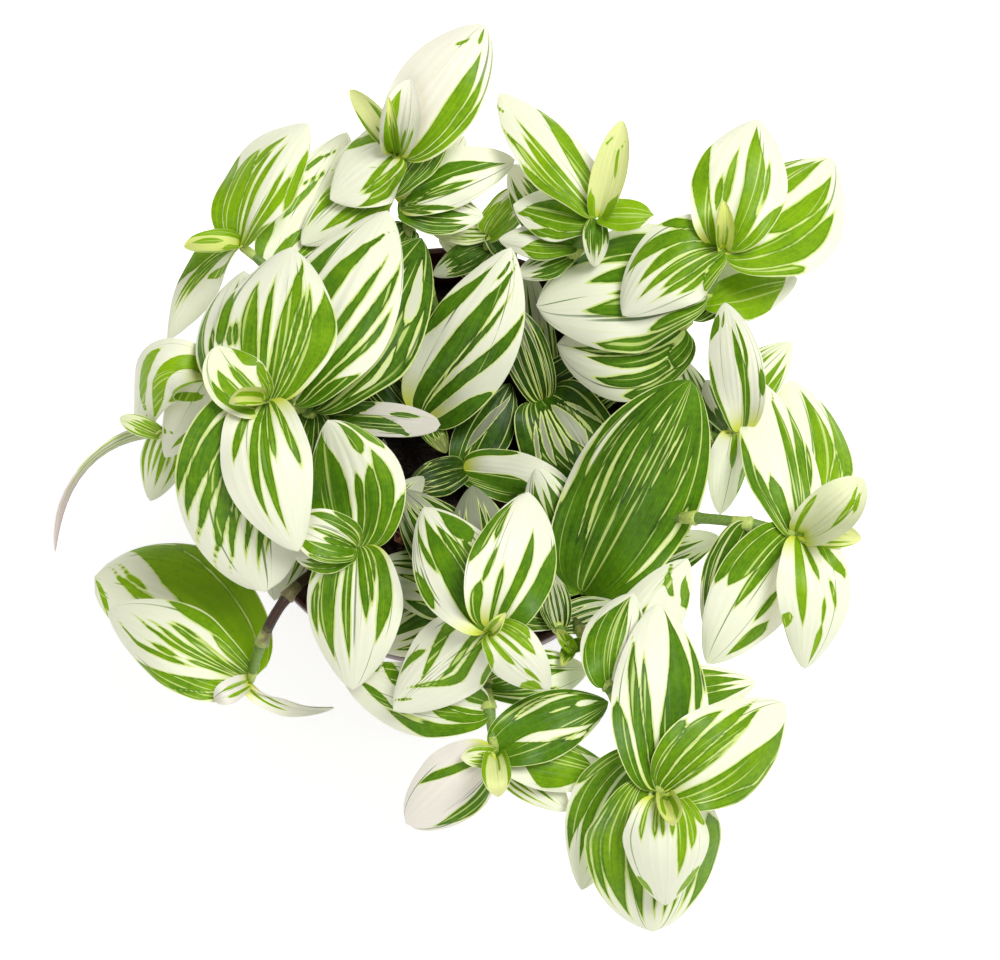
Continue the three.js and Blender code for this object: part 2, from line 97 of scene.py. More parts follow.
# %% Helpers for materials
def hex_colour(text):
    values = [int(text[i:i + 2], 16) / 255 for i in (1, 3, 5)]
    linear = [v / 12.92 if v <= 0.04045 else ((v + 0.055) / 1.055) ** 2.4 for v in values]
    return (*linear, 1.0)


def add(tree, kind, inputs=None, **settings):
    node = tree.nodes.new(kind)
    for name, value in settings.items():
        setattr(node, name, value)
    for socket, value in (inputs or {}).items():
        if isinstance(value, bpy.types.NodeSocket):
            tree.links.new(value, node.inputs[socket])
        else:
            node.inputs[socket].default_value = value
    return node


def new_material(name):
    material = bpy.data.materials.new(name)
    material.use_nodes = True
    material.node_tree.nodes.clear()
    return material


# Settings that many of the nodes share: a mix of two colours, and a step with soft ends
OF_COLOURS = {"data_type": "RGBA"}
SOFT_STEP = {"interpolation_type": "SMOOTHSTEP"}


def strayed(tree, pattern, strength, value):
    """The value, moved up and down by a pattern that runs from 0 to 1."""
    around_zero = add(tree, "ShaderNodeMath", {0: pattern, 1: 0.5}, operation="SUBTRACT").outputs[0]
    parts = {0: around_zero, 1: strength, 2: value}
    return add(tree, "ShaderNodeMath", parts, operation="MULTIPLY_ADD").outputs[0]


def scale_for(size_mm):
    """The scale that gives a pattern on Object coordinates grains of that size."""
    return 1 / (size_mm * MM)


print("white in linear light:", hex_colour("#FFFFFF")[:3])

# %% [markdown]
# ## Light and floor
# The photograph is a high-key studio shot: a white table, a very soft light from above and a little from
# the right, and almost no shadow. A large area lamp close overhead gives the soft modelling on the leaves,
# a larger and weaker one fills in from the front left, and a bright even surrounding lightens the shadows.
# The table is matt white and glows a little, as an overexposed white table does on film, so the plant's
# shadow stays faint.

# %% Lamps and surroundings
scene = bpy.context.scene
scene.view_settings.view_transform = "Standard"
scene.view_settings.look = "None"

world = bpy.data.worlds.new("white studio")
scene.world = world
world.use_nodes = True
world.node_tree.nodes["Background"].inputs["Color"].default_value = hex_colour("#FFFFFF")
world.node_tree.nodes["Background"].inputs["Strength"].default_value = 0.36


def soft_lamp(name, place, size, watts):
    """A round lamp, with its place and size in metres, turned towards the plant."""
    data = bpy.data.lights.new(name, "AREA")
    data.shape = "DISK"
    data.size = size
    data.energy = watts
    lamp = bpy.data.objects.new(name, data)
    lamp.location = Vector(place)
    lamp.rotation_mode = "QUATERNION"
    lamp.rotation_quaternion = (camera_looks_at - lamp.location).to_track_quat("-Z", "Y")
    scene.collection.objects.link(lamp)


soft_lamp("overhead softbox", place=(0.45, 0.2, 1.2), size=0.55, watts=12.5)
soft_lamp("front fill", place=(-0.5, -0.9, 0.8), size=0.9, watts=3.5)

# %% Table
table_reach = 3.0
table_grain_mm = 15

# Matt white paint, sprayed: an even white with next to no shine
table_paint = new_material("matt white table")
tree = table_paint.node_tree
body = add(tree, "ShaderNodeTexCoord")
grain = add(tree, "ShaderNodeTexNoise", {
    "Vector": body.outputs["Object"], "Scale": scale_for(table_grain_mm), "Detail": 2.0,
})
table_colour = add(tree, "ShaderNodeMix", {
    0: grain.outputs["Fac"], 6: hex_colour("#FCFCFC"), 7: hex_colour("#FFFFFF"),
}, **OF_COLOURS).outputs[2]
table_shader = add(tree, "ShaderNodeBsdfPrincipled", {
    "Base Color": table_colour, "Roughness": 0.9, "Specular IOR Level": 0.1,
    "Emission Color": hex_colour("#FFFFFF"), "Emission Strength": 0.55,
})
add(tree, "ShaderNodeOutputMaterial", {"Surface": table_shader.outputs[0]})

table = bmesh.new()
bmesh.ops.create_grid(table, x_segments=1, y_segments=1, size=table_reach)
table_mesh = bpy.data.meshes.new("table")
table.to_mesh(table_mesh)
table.free()
table_mesh.materials.append(table_paint)
table_top = bpy.data.objects.new("table", table_mesh)
scene.collection.objects.link(table_top)
table_top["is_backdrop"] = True
print("table, metres across:", 2 * table_reach)

# %% [markdown]
# ## The leaf's upper face
# A spiderwort leaf is thin, fleshy and slightly glossy. The white stripes are strips of tissue without
# green pigment. They follow the parallel veins from the stem to the tip, narrow towards the tip, and have
# slightly ragged edges with a thin yellow-green seam where the two tissues overlap. The green is deepest
# just inside the seam. The blades store two things on their vertices. "stripe" is above zero in green
# tissue and tells how far the nearest seam is. "look" holds four numbers: how bright a green the place has,
# which painted shade lowers deep in the plant, how pink the leaf's white is, a number of its own, and how
# young the leaf is. The material only has to find the seams, fray them, and lay fine veins along the blade.

# %% Leaf colours
LEAF_DARK = hex_colour("#244009")
LEAF_MIDDLE = hex_colour("#527E0E")
LEAF_BRIGHT = hex_colour("#86AE0A")
LEAF_SEAM = hex_colour("#CBDB80")
LEAF_CREAM = hex_colour("#EAECD3")
LEAF_BLUSH = hex_colour("#F0E4E2")
LEAF_YOUNG = hex_colour("#D3DC44")
# painted shade: the dark olive that a leaf's white turns to where its tone is low
LEAF_SHADED = hex_colour("#46502C")
print("middle green in linear light:", [round(value, 3) for value in LEAF_MIDDLE[:3]])

# %% What the leaf material reads
def leaf_nodes(tree):
    """The sockets that both faces of a leaf read."""
    place = add(tree, "ShaderNodeUVMap", uv_map="leaf")
    parts = add(tree, "ShaderNodeSeparateXYZ", {0: place.outputs[0]})
    look = add(tree, "ShaderNodeAttribute", attribute_name="look")
    looks = add(tree, "ShaderNodeSeparateColor", {0: look.outputs["Color"]})
    stripe = add(tree, "ShaderNodeAttribute", attribute_name="stripe")
    across, along = parts.outputs[0], parts.outputs[1]
    own, youth = looks.outputs[2], look.outputs["Alpha"]
    return across, along, stripe.outputs["Fac"], looks.outputs[0], looks.outputs[1], own, youth


def streaks(tree, across, along, own, fine, long, detail, shift):
    """Noise drawn out along the veins: fine streaks across the blade, long ones along it."""
    place = add(tree, "ShaderNodeCombineXYZ", {
        0: add(tree, "ShaderNodeMath", {0: across, 1: fine}, operation="MULTIPLY").outputs[0],
        1: add(tree, "ShaderNodeMath", {0: along, 1: long}, operation="MULTIPLY").outputs[0],
        2: add(tree, "ShaderNodeMath", {0: own, 1: 40.0, 2: shift}, operation="MULTIPLY_ADD").outputs[0],
    })
    noise_node = add(tree, "ShaderNodeTexNoise", {
        "Vector": place.outputs[0], "Scale": 1.0, "Detail": detail, "Roughness": 0.55,
    })
    return noise_node.outputs["Fac"]


def body_noise(tree, size_mm, detail, roughness=0.5):
    """Noise that fills the object, with grains of that size."""
    body = add(tree, "ShaderNodeTexCoord")
    return add(tree, "ShaderNodeTexNoise", {
        "Vector": body.outputs["Object"], "Scale": scale_for(size_mm), "Detail": detail,
        "Roughness": roughness,
    }).outputs["Fac"]


# The places of a seam's two sides on the scale of "stripe", where 1 is half of a blade's width
green_begins, seam_begins = (-0.008, 0.01), (-0.04, -0.012)
fray_depth = 0.05
rim_depth = 0.05
print("seam, share of half a blade's width:", round(green_begins[0] - seam_begins[0], 3))

# %% Green and white tissue
mottle_mm = 1.43
patch_mm = 11.1


def green_tissue(tree, tone, edge, veins, mottle, dark, middle, bright):
    """Deep to bright with the tone, partly painted shade; mottled, with fine parallel veins and a deeper
    rim.
    """
    patches = body_noise(tree, patch_mm, 1.0)
    wander = strayed(tree, mottle, 0.5, tone)
    wander = strayed(tree, patches, 0.5, wander)
    wander = strayed(tree, veins, 0.45, wander)
    inner_rim = add(tree, "ShaderNodeMapRange", {0: edge, 1: rim_depth, 2: 0.0, 4: -0.22}, **SOFT_STEP)
    wander = add(tree, "ShaderNodeMath", {0: wander, 1: inner_rim.outputs[0]}, operation="ADD").outputs[0]
    medium = add(tree, "ShaderNodeMapRange", {0: wander, 1: 0.0, 2: 0.5}).outputs[0]
    light = add(tree, "ShaderNodeMapRange", {0: wander, 1: 0.5, 2: 1.0}).outputs[0]
    green = add(tree, "ShaderNodeMix", {0: medium, 6: dark, 7: middle}, **OF_COLOURS).outputs[2]
    return add(tree, "ShaderNodeMix", {0: light, 6: green, 7: bright}, **OF_COLOURS).outputs[2]


def white_tissue(tree, tone, pink, young, veins, cream, blush, seam):
    """Cream, pinkish on some leaves, greyed as painted shade where the tone is low, yellow-green where
    young.
    """
    # painted shade: the lower the tone, the more the white turns to LEAF_SHADED
    shaded = add(tree, "ShaderNodeMapRange", {0: tone, 1: 0.4, 2: 0.0}).outputs[0]
    lined = add(tree, "ShaderNodeMapRange", {0: veins, 1: 0.5, 2: 0.9, 4: 0.3}, **SOFT_STEP).outputs[0]
    white = add(tree, "ShaderNodeMix", {0: pink, 6: cream, 7: blush}, **OF_COLOURS).outputs[2]
    white = add(tree, "ShaderNodeMix", {0: shaded, 6: white, 7: LEAF_SHADED}, **OF_COLOURS).outputs[2]
    white = add(tree, "ShaderNodeMix", {0: young, 6: white, 7: LEAF_YOUNG}, **OF_COLOURS).outputs[2]
    return add(tree, "ShaderNodeMix", {0: lined, 6: white, 7: seam}, **OF_COLOURS).outputs[2]


print("size of the mottling and of the patches, mm:", mottle_mm, patch_mm)

# %% Leaf material
def leaf_material(name, dark, middle, bright, seam, cream, blush, roughness):
    material = new_material(name)
    tree = material.node_tree
    across, along, stripe, tone, pink, own, youth = leaf_nodes(tree)
    fray = streaks(tree, across, along, own, fine=46.0, long=9.0, detail=3.0, shift=0.0)
    edge = strayed(tree, fray, fray_depth, stripe)
    green_side = {0: edge, 1: green_begins[0], 2: green_begins[1]}
    green_here = add(tree, "ShaderNodeMapRange", green_side, **SOFT_STEP).outputs[0]
    seam_side = {0: edge, 1: seam_begins[0], 2: seam_begins[1]}
    seam_here = add(tree, "ShaderNodeMapRange", seam_side, **SOFT_STEP).outputs[0]
    veins = streaks(tree, across, along, own, fine=95.0, long=1.6, detail=1.0, shift=17.0)
    mottle = body_noise(tree, mottle_mm, 3.0, 0.6)

    # young tissue: its foot is yellow-green first, and on the youngest leaves the whole blade is
    foot = add(tree, "ShaderNodeMapRange", {0: along, 1: 0.3, 2: 0.02}, **SOFT_STEP).outputs[0]
    new = add(tree, "ShaderNodeMapRange", {0: youth, 1: 0.1, 2: 0.3}, **SOFT_STEP).outputs[0]
    foot = add(tree, "ShaderNodeMath", {0: foot, 1: new}, operation="MULTIPLY").outputs[0]
    newest = add(tree, "ShaderNodeMapRange", {0: youth, 1: 0.7, 2: 1.0, 4: 0.75}, **SOFT_STEP).outputs[0]
    young = add(tree, "ShaderNodeMath", {0: foot, 1: newest}, operation="MAXIMUM").outputs[0]
    lighter = add(tree, "ShaderNodeMath", {0: newest, 1: 0.8}, operation="MULTIPLY").outputs[0]
    green = green_tissue(tree, tone, edge, veins, mottle, dark, middle, bright)
    green = add(tree, "ShaderNodeMix", {0: lighter, 6: green, 7: bright}, **OF_COLOURS).outputs[2]
    white = white_tissue(tree, tone, pink, young, veins, cream, blush, seam)

    # hairlines: thin green ones on the white, thin white ones in the green
    hair = streaks(tree, across, along, own, fine=34.0, long=0.8, detail=0.0, shift=5.0)
    hair = add(tree, "ShaderNodeMapRange", {0: hair, 1: 0.73, 2: 0.77}, **SOFT_STEP).outputs[0]
    near_green = {0: stripe, 1: -0.22, 2: -0.06, 4: 0.8}
    near_green = add(tree, "ShaderNodeMapRange", near_green, **SOFT_STEP).outputs[0]
    hair_here = add(tree, "ShaderNodeMath", {0: hair, 1: near_green}, operation="MULTIPLY").outputs[0]
    pale = streaks(tree, across, along, own, fine=30.0, long=0.7, detail=0.0, shift=11.0)
    pale = add(tree, "ShaderNodeMapRange", {0: pale, 1: 0.66, 2: 0.71}, **SOFT_STEP).outputs[0]
    in_green = {0: stripe, 1: 0.02, 2: 0.05, 4: 0.75}
    in_green = add(tree, "ShaderNodeMapRange", in_green, **SOFT_STEP).outputs[0]
    pale_here = add(tree, "ShaderNodeMath", {0: pale, 1: in_green}, operation="MULTIPLY").outputs[0]

    colour = add(tree, "ShaderNodeMix", {0: seam_here, 6: white, 7: seam}, **OF_COLOURS).outputs[2]
    colour = add(tree, "ShaderNodeMix", {0: hair_here, 6: colour, 7: green}, **OF_COLOURS).outputs[2]
    green = add(tree, "ShaderNodeMix", {0: pale_here, 6: green, 7: seam}, **OF_COLOURS).outputs[2]
    colour = add(tree, "ShaderNodeMix", {0: green_here, 6: colour, 7: green}, **OF_COLOURS).outputs[2]

    ridges = {0: mottle, 1: 0.35, 2: veins}
    ridges = add(tree, "ShaderNodeMath", ridges, operation="MULTIPLY_ADD").outputs[0]
    bump = add(tree, "ShaderNodeBump", {"Height": ridges, "Strength": 0.35, "Distance": 0.00025})
    shader = add(tree, "ShaderNodeBsdfPrincipled", {
        "Base Color": colour, "Roughness": roughness, "IOR": 1.42, "Specular IOR Level": 0.22,
        "Subsurface Weight": 0.12, "Subsurface Radius": (1.0, 1.3, 0.5), "Subsurface Scale": 0.001,
        "Normal": bump.outputs[0],
    })
    add(tree, "ShaderNodeOutputMaterial", {"Surface": shader.outputs[0]})
    return material


# Leaf tissue, grown: the waxy skin of a fleshy leaf, satin with a soft highlight
leaf_upper = leaf_material("leaf upper skin", LEAF_DARK, LEAF_MIDDLE, LEAF_BRIGHT, LEAF_SEAM,
                           LEAF_CREAM, LEAF_BLUSH, 0.36)
# Leaf tissue from below: duller and paler, with a lilac cast over the white
leaf_under = leaf_material("leaf underside skin", hex_colour("#4D6B3C"), hex_colour("#7FA45A"),
                           hex_colour("#A5C46A"), hex_colour("#D5DDAA"), hex_colour("#ECE2DE"),
                           hex_colour("#DCC4CC"), 0.5)
print("leaf materials:", leaf_upper.name, "and", leaf_under.name)

# %% [markdown]
# ## Stems and sheaths
# The stems are juicy canes as thick as a matchstick. New growth is green, and older lengths turn brown
# where a corky skin forms. At every joint the foot of a leaf wraps the cane as a thin sheath with fine
# ribs. The "look" attribute tells the material how young the cane is at each point.

# %% Stem and sheath materials
fibre_mm = 0.556
fibre_stretch = 0.18
blotch_mm = 3.85


def cane_material(name, old, young, roughness):
    material = new_material(name)
    tree = material.node_tree
    look = add(tree, "ShaderNodeAttribute", attribute_name="look")
    looks = add(tree, "ShaderNodeSeparateColor", {0: look.outputs["Color"]})
    body = add(tree, "ShaderNodeTexCoord")
    drawn = add(tree, "ShaderNodeMapping", {
        "Vector": body.outputs["Object"], "Scale": (1.0, 1.0, fibre_stretch),
    })
    fibres = add(tree, "ShaderNodeTexNoise", {
        "Vector": drawn.outputs[0], "Scale": scale_for(fibre_mm), "Detail": 2.0,
    })
    age = strayed(tree, body_noise(tree, blotch_mm, 2.0), 0.9, looks.outputs[0])
    fresh = add(tree, "ShaderNodeMapRange", {0: age, 1: 0.25, 2: 0.75}, **SOFT_STEP).outputs[0]
    colour = add(tree, "ShaderNodeMix", {0: fresh, 6: old, 7: young}, **OF_COLOURS).outputs[2]
    darker = add(tree, "ShaderNodeHueSaturation", {"Value": 0.62, "Color": colour}).outputs[0]
    lines = {0: fibres.outputs["Fac"], 1: 0.5, 2: 0.72}
    lines = add(tree, "ShaderNodeMapRange", lines, **SOFT_STEP).outputs[0]
    colour = add(tree, "ShaderNodeMix", {0: lines, 6: colour, 7: darker}, **OF_COLOURS).outputs[2]
    bump = add(tree, "ShaderNodeBump", {
        "Height": fibres.outputs["Fac"], "Strength": 0.4, "Distance": 0.0003,
    })
    shader = add(tree, "ShaderNodeBsdfPrincipled", {
        "Base Color": colour, "Roughness": roughness, "IOR": 1.42, "Normal": bump.outputs[0],
    })
    add(tree, "ShaderNodeOutputMaterial", {"Surface": shader.outputs[0]})
    return material


# Stem skin, grown: smooth and green when new, brown and corky when old
cane_skin = cane_material("cane skin", hex_colour("#3B281C"), hex_colour("#6F8E3A"), 0.5)
# Leaf sheath, grown: a thin ribbed sleeve, nearly see-through, so it looks like a paler cane
sheath_skin = cane_material("leaf sheath", hex_colour("#6E6641"), hex_colour("#B3C465"), 0.42)
print("cane materials:", cane_skin.name, "and", sheath_skin.name)

# %% [markdown]
# ## The plant as a list of leaves
# Every stem is one smooth line from the soil to its growing tip, and its leaves stand on it one above the
# other. The rows below repeat the plan that the solids were made from. A row gives, in millimetres and
# degrees: how far below the tip the leaf sits, its compass direction, reach, rise, width, arch, bow, roll
# and curl. Four numbers follow for its looks: the share of green, which side is greener (1 is left and
# -1 is right), how bright the green is, partly the leaf's own and partly painted shade that is set low on
# leaves deep in the plant, and how pink the white is. A last number on a few rows says how pointed the tip
# is.

# %% Stems and leaves
stems = {
    "stem_back_left": {
        "root": (-26, 26), "lean": (-50, 48, 124), "tip": (-58, 54, 118),
        "leaves": [
            (0, 60, 38, 7, 23, 4, 3, -12, 0, 0.5, 0.8, 0.9, 0),
            (0, 184, 15, 1, 9, 1, 0, 0, 0.6, 0.2, 0, 0.9, 0),
            (1, 223, 31, -17, 19, 6, -4, 35, 0.1, 0.5, 0.1, 0.8, 0),
            (12, 64, 46, 2, 19, 4, 0, -8, 0, 0.5, 0, 0.65, 0),
            (18, 74, 34, -10, 18, 5, 0, 0, 0, 0.6, 0, 0.3, 0),
        ],
    },
    "stem_left": {
        "root": (-28, 4), "lean": (-32, 4, 134), "tip": (-48, 2, 142),
        "leaves": [
            (0, 132, 17, 8, 17, 2, 2, 0, 0.35, 0.5, 0, 0.75, 0),
            (0, 205, 8, 10, 8, 1, 0, 0, 0.9, 0.4, 0, 1, 0),
            (1, 84, 46, -9, 33, 6, 0, 0, 0, 0.4, 0, 0.65, 0),
            (1, 283, 39, -9, 24, 7, -3, 0, 0, 0.15, 0.2, 0.65, 0),
            (3, 266, 46, -24, 36, 8, -6.5, 0, 0, 0.45, -0.3, 0.55, 0, 0.5),
            (4, 105, 44, -18, 24, 7, 6, 0, 0, 0.4, 0, 0.5, 0),
            (9, 67, 63, -10, 33, 6, 0, 0, 0, 0.45, -0.4, 0.5, 0),
            (17, 61, 61, -14, 34, 6, 0, 0, 0, 0.7, -0.2, 0.3, 0),
            (19, 256, 48, -26, 24, 6, 0, 0, 0, 0.65, 0, 0.3, 0),
            (26, 356, 32, 0, 10, 2, 0, 0, 0.2, 0.1, 0, 0.28, 0.6, 0.5),
            (28, 92, 36, -12, 22, 5, 0, 0, 0, 0.5, 0, 0.3, 0),
        ],
    },
    "stem_far_left": {
        "root": (-42, 12), "lean": (-54, 14, 130), "tip": (-65, 14, 125),
        "leaves": [
            (0, 210, 25, -18, 18, 9, -7, 0, 0, 0.5, 0, 1, 0),
            (1, 236, 23, -14, 15, 5, 0, 0, 0, 0.25, 0, 0.85, 0.2),
            (0, 150, 8, 2, 8, 1, 0, 0, 0.5, 0.3, 0, 0.8, 1),
        ],
    },
    "stem_left_edge": {
        "root": (-44, -2), "lean": (-60, 1, 124), "tip": (-79, 1, 112),
        "leaves": [
            (0, 224, 42, -16, 8, 3, -8, 75, 0.6, 0.2, 0, 0.9, 0.85),
            (3, 250, 18, -8, 12, 3, 0, 0, 0, 0.2, 0, 0.95, 0),
            (0, 155, 11, 1, 6, 1, 0, 0, 0.4, 0.3, 0, 0.95, 0),
        ],
    },
    "stem_back": {
        "root": (-22, 42), "lean": (-18, 66, 130), "tip": (-14, 77, 128),
        "leaves": [
            (0, 53, 40, 13, 25, 2, -1, 15, 0, 0.3, 0.4, 0.8, 0.3),
            (0, 208, 21, -12, 22, 5, 0, 0, 0, 0.15, 0, 0.75, 0),
            (8, 212, 29, -9, 17, 3, 0, -20, 0, 0.7, 0, 0.8, 0),
            (0, 77, 16, 15, 13, 1, 0, 0, 0.5, 0.15, 0, 1, 0.3),
            (0, 100, 11, 12, 5, 1, 0, 0, 1, 0.5, 0, 1, 0),
            (0, 127, 22, 2, 8, 1, 0, 0, 0.5, 0.4, 0, 0.6, 0),
            (12, 60, 32, -8, 17, 4, 0, 0, 0, 0.6, 0, 0.5, 0),
        ],
    },
    "stem_back_lower": {
        "root": (-2, 36), "lean": (-10, 58, 118), "tip": (-14, 67, 116),
        "leaves": [
            (0, 18, 34, 6, 17, 4, 0, 15, 0, 0.5, 0, 0.5, 0),
            (2, 352, 23, 3, 14, 3, 0, 0, 0, 0.8, 0, 0.45, 0),
            (6, 58, 30, 2, 14, 2, 0, 10, 0, 0.5, 0, 0.4, 0),
            (8, 235, 22, -8, 14, 3, 0, 0, 0, 0.5, 0, 0.3, 0),
        ],
    },
    "stem_rim": {
        "root": (10, 40), "lean": (10, 57, 102), "tip": (11, 61, 107),
        "leaves": [
            (0, 40, 16, 12, 12, 2, 0, 0, 0.3, 0.5, 0, 0.9, 0),
            (0, 182, 16, 3, 8, 1, 0, 0, 0.4, 0.15, 0, 0.6, 0),
            (0, 316, 11, -3, 7, 1, 0, 0, 0.2, 0.7, 0, 0.2, 0),
            (4, 205, 17, -4, 9, 2, 0, 0, 0, 0.75, 0, 0.25, 0),
            (14, 140, 16, 6, 9, 2, 0, 0, 0, 0.15, 0, 0.4, 0),
            (8, 155, 15, -1, 7, 1, 0, 0, 0.2, 0.4, 0, 0.6, 0),
        ],
    },
    "stem_middle_left": {
        "root": (-9, 9), "lean": (-8, 9, 94), "tip": (-7, 9, 101),
        "leaves": [
            (0, 59, 47, 28, 27, 4, -2, 0, 0, 0.45, 0, 0.42, 0, 0.8),
            (1, 300, 13, 5, 9, 1, 0, 0, 0.6, 0.4, 0, 0.05, 0.2),
            (4, 128, 34, 6, 20, 4, 0, 0, 0, 0.6, 0, 0.25, 0),
        ],
    },
    "stem_back_right": {
        "root": (24, 38), "lean": (36, 52, 134), "tip": (41, 57, 132),
        "leaves": [
            (0, 125, 47, -6, 18, 3, 0, 8, 0, 0.35, 0.2, 0.85, 0),
            (0, 75, 23, 14, 11, 1, 0, 0, 0.5, 0.15, 0, 1, 0),
            (0, 357, 15, 2, 10, 1, 0, 0, 0.2, 0.75, 0, 0.85, 0),
            (2, 161, 23, -7, 17, 3, 0, 0, 0, 0.6, 0, 0.65, 0),
            (11, 170, 22, -6, 11, 2, 0, 0, 0, 0.7, 0, 0.65, 0),
            (1, 268, 11, -8, 8, 1, 0, 0, 0.3, 0.4, 0, 0.5, 0),
            (15, 196, 16, -4, 9, 1, 0, 0, 0, 0.5, 0, 0.5, 0),
            (12, 122, 34, -12, 17, 3, 0, 0, 0, 0.6, 0, 0.5, 0),
        ],
    },
    "stem_right_upper": {
        "root": (41, 14), "lean": (75, 34, 131), "tip": (74, 48, 135),
        "leaves": [
            (0, 95, 8, 12, 9, 1, 0, 0, 0.9, 0.1, 0, 0.9, 0),
            (1, 74, 36, 6, 26, 5, 0, 0, 0, 0.4, 0, 0.85, 0),
            (2, 44, 45, -10, 34, 6, -4, 0, 0, 0.5, -0.2, 0.85, 0),
            (1, 211, 31, -10, 24, 5, -3, 0, 0, 0.55, 0, 0.7, 0),
            (14, 180, 46, -12, 37, 7, -2, 0, 0, 0.3, -0.8, 0.5, 0, 0.6),
            (18, 20, 30, -10, 22, 5, 2, 0, 0, 0.4, -0.4, 0.85, 0),
            (27, 184, 34, -9, 30, 5, 5, 0, 0, 0.5, -0.3, 0.35, 0),
            (24, 60, 34, -8, 20, 4, 0, 0, 0, 0.5, 0, 0.4, 0),
        ],
    },
    "stem_right_middle": {
        "root": (47, -4), "lean": (66, -3, 126), "tip": (79, -1, 124),
        "leaves": [
            (0, 98, 34, 6, 14, 4, 0, 12, 0, 0.3, 0.3, 0.5, 0.1),
            (12, 48, 40, -6, 17, 3, 0, 0, 0, 0.7, 0, 0.8, 0),
            (2, 114, 17, -4, 10, 2, 0, 0, 0, 0.7, 0, 0.3, 0),
            (2, 262, 20, -13, 12, 3, 0, 0, 0, 0.4, 0, 0.75, 0),
            (12, 104, 25, 0, 13, 3, 0, 0, 0, 0.3, 0, 0.4, 0),
            (8, 240, 16, -10, 9, 2, 0, 0, 0.2, 0.4, 0, 0.4, 0),
        ],
    },
    "stem_middle_right": {
        "root": (34, -35), "lean": (36, -38, 92), "tip": (37, -40, 99),
        "leaves": [
            (0, 61, 58, 33, 36, 5, 0, 0, 0, 0.85, -0.1, 0.42, 0),
            (1, 112, 34, 14, 19, 3, 0, 0, 0, 0.7, 0, 0.5, 0),
            (3, 20, 40, 8, 15, 3, 0, 0, 0, 0.6, 0, 0.3, 0),
        ],
    },
    "stem_middle_back": {
        "root": (28, 18), "lean": (27, 17, 90), "tip": (26, 16, 95),
        "leaves": [
            (0, 301, 30, 5, 28, 4, 0, 0, 0, 0.6, 0, 0.3, 0),
            (0, 111, 25, 15, 13, 2, 0, 0, 0, 0.3, 0, 0.08, 0.2),
            (2, 98, 37, 12, 12, 2, 0, 0, 0, 0.25, 0, 0.25, 0.2),
            (2, 20, 28, 8, 20, 3, 0, 0, 0, 0.7, 0, 0.05, 0),
        ],
    },
    "stem_middle": {
        "root": (4, -5), "lean": (4, -5, 90), "tip": (4, -4, 93),
        "leaves": [
            (0, 347, 31, 7, 15, 3, 0, 0, 0, 0.4, 0, 0.85, 0),
            (0, 205, 17, 6, 11, 2, 0, 0, 0, 0.6, 0, 0, 0),
            (1, 62, 28, 4, 16, 3, 0, 0, 0, 0.6, 0, 0.2, 0),
        ],
    },
    "stem_right": {
        "root": (45, -18), "lean": (67, -26, 140), "tip": (94, -30, 125),
        "leaves": [
            (1, 102, 45, -3, 20, 6, 0, 8, 0, 0.3, -0.3, 0.6, 0),
            (3, 86, 46, -12, 28, 6, -4, 0, 0, 0.6, -0.3, 0.8, 0),
            (0, 42, 19, 11, 14, 2, 0, 0, 0.4, 0.2, 0, 1, 0),
            (0, 354, 15, 3, 9, 1, 0, 0, 0.5, 0.1, 0, 0.9, 0),
            (0, 272, 33, -15, 20, 6, 2, 0, 0, 0.25, 0, 0.85, 0),
            (4, 282, 30, -10, 11, 4, 0, 0, 0, 0.3, 0, 0.6, 0),
            (2, 235, 40, -12, 24, 5, 0, 0, 0, 0.5, -0.4, 0.6, 0),
            (14, 256, 34, -16, 19, 5, 0, 0, 0, 0.5, 0, 0.35, 0),
        ],
    },
    "stem_front_left": {
        "root": (-20, -22), "lean": (-22, -30, 122), "tip": (-24, -34, 127),
        "leaves": [
            (1, 103, 35, 2, 27, 4, -3, 0, 0, 0.5, 0.2, 0.55, 0),
            (0, 160, 18, 3, 15, 2, 0, 0, 0.3, 0.4, -0.2, 0.6, 0),
            (0, 184, 16, -4, 13, 3, 0, 0, 0.1, 0.7, 0, 0.6, 0),
            (1, 268, 36, -13, 26, 6, 0, 0, 0, 0.55, 0, 0.6, 0),
            (13, 82, 30, -6, 9, 2, 0, 0, 0.2, 0.5, 0, 0.4, 0),
            (17, 52, 24, -6, 10, 2, 0, 0, 0.3, 0.4, 0, 0.4, 0),
        ],
    },
    "stem_front": {
        "root": (10, -28), "lean": (12, -48, 128), "tip": (12, -58, 137),
        "leaves": [
            (0, 45, 5, 7, 6, 0, 0, 0, 0.9, 0.3, 0, 1, 0),
            (1, 75, 37, 2, 23, 5, -1, 0, 0, 0.35, -0.4, 0.5, 0.1),
            (1, 118, 38, -6, 24, 5, 0, 0, 0, 0.5, -0.6, 0.5, 0),
            (15, 126, 42, -12, 20, 5, 0, 0, 0, 0.6, 0, 0.2, 0),
            (10, 98, 37, -11, 19, 4, 0, 0, 0, 0.55, 0, 0.1, 0),
            (1, 216, 32, -17, 22, 7, 0, 0, 0, 0.5, 0, 0.65, 0),
            (0, 319, 20, -10, 15, 4, 0, 0, 0, 0.3, 0, 0.85, 0),
            (20, 163, 34, -8, 20, 4, 0, 0, 0, 0.5, 0, 0.35, 0),
            (24, 200, 34, -16, 22, 5, 0, 0, 0, 0.6, 0, 0.3, 0),
        ],
    },
    "stem_front_bud": {
        "root": (23, -42), "lean": (28, -47, 112), "tip": (33, -59, 116),
        "leaves": [
            (0, 130, 6, 4, 6, 0, 0, 0, 0.8, 0.6, 0, 0.8, 0),
            (0, 12, 6, 4, 6, 0, 0, 0, 0.8, 0.6, 0, 0.7, 0),
            (0, 245, 6, 4, 6, 0, 0, 0, 0.8, 0.6, 0, 0.6, 0),
            (8, 100, 16, -1, 9, 1, 0, 0, 0.2, 0.3, 0, 0.2, 0.3),
            (10, 20, 18, -3, 10, 2, 0, 0, 0, 0.4, 0, 0.2, 0),
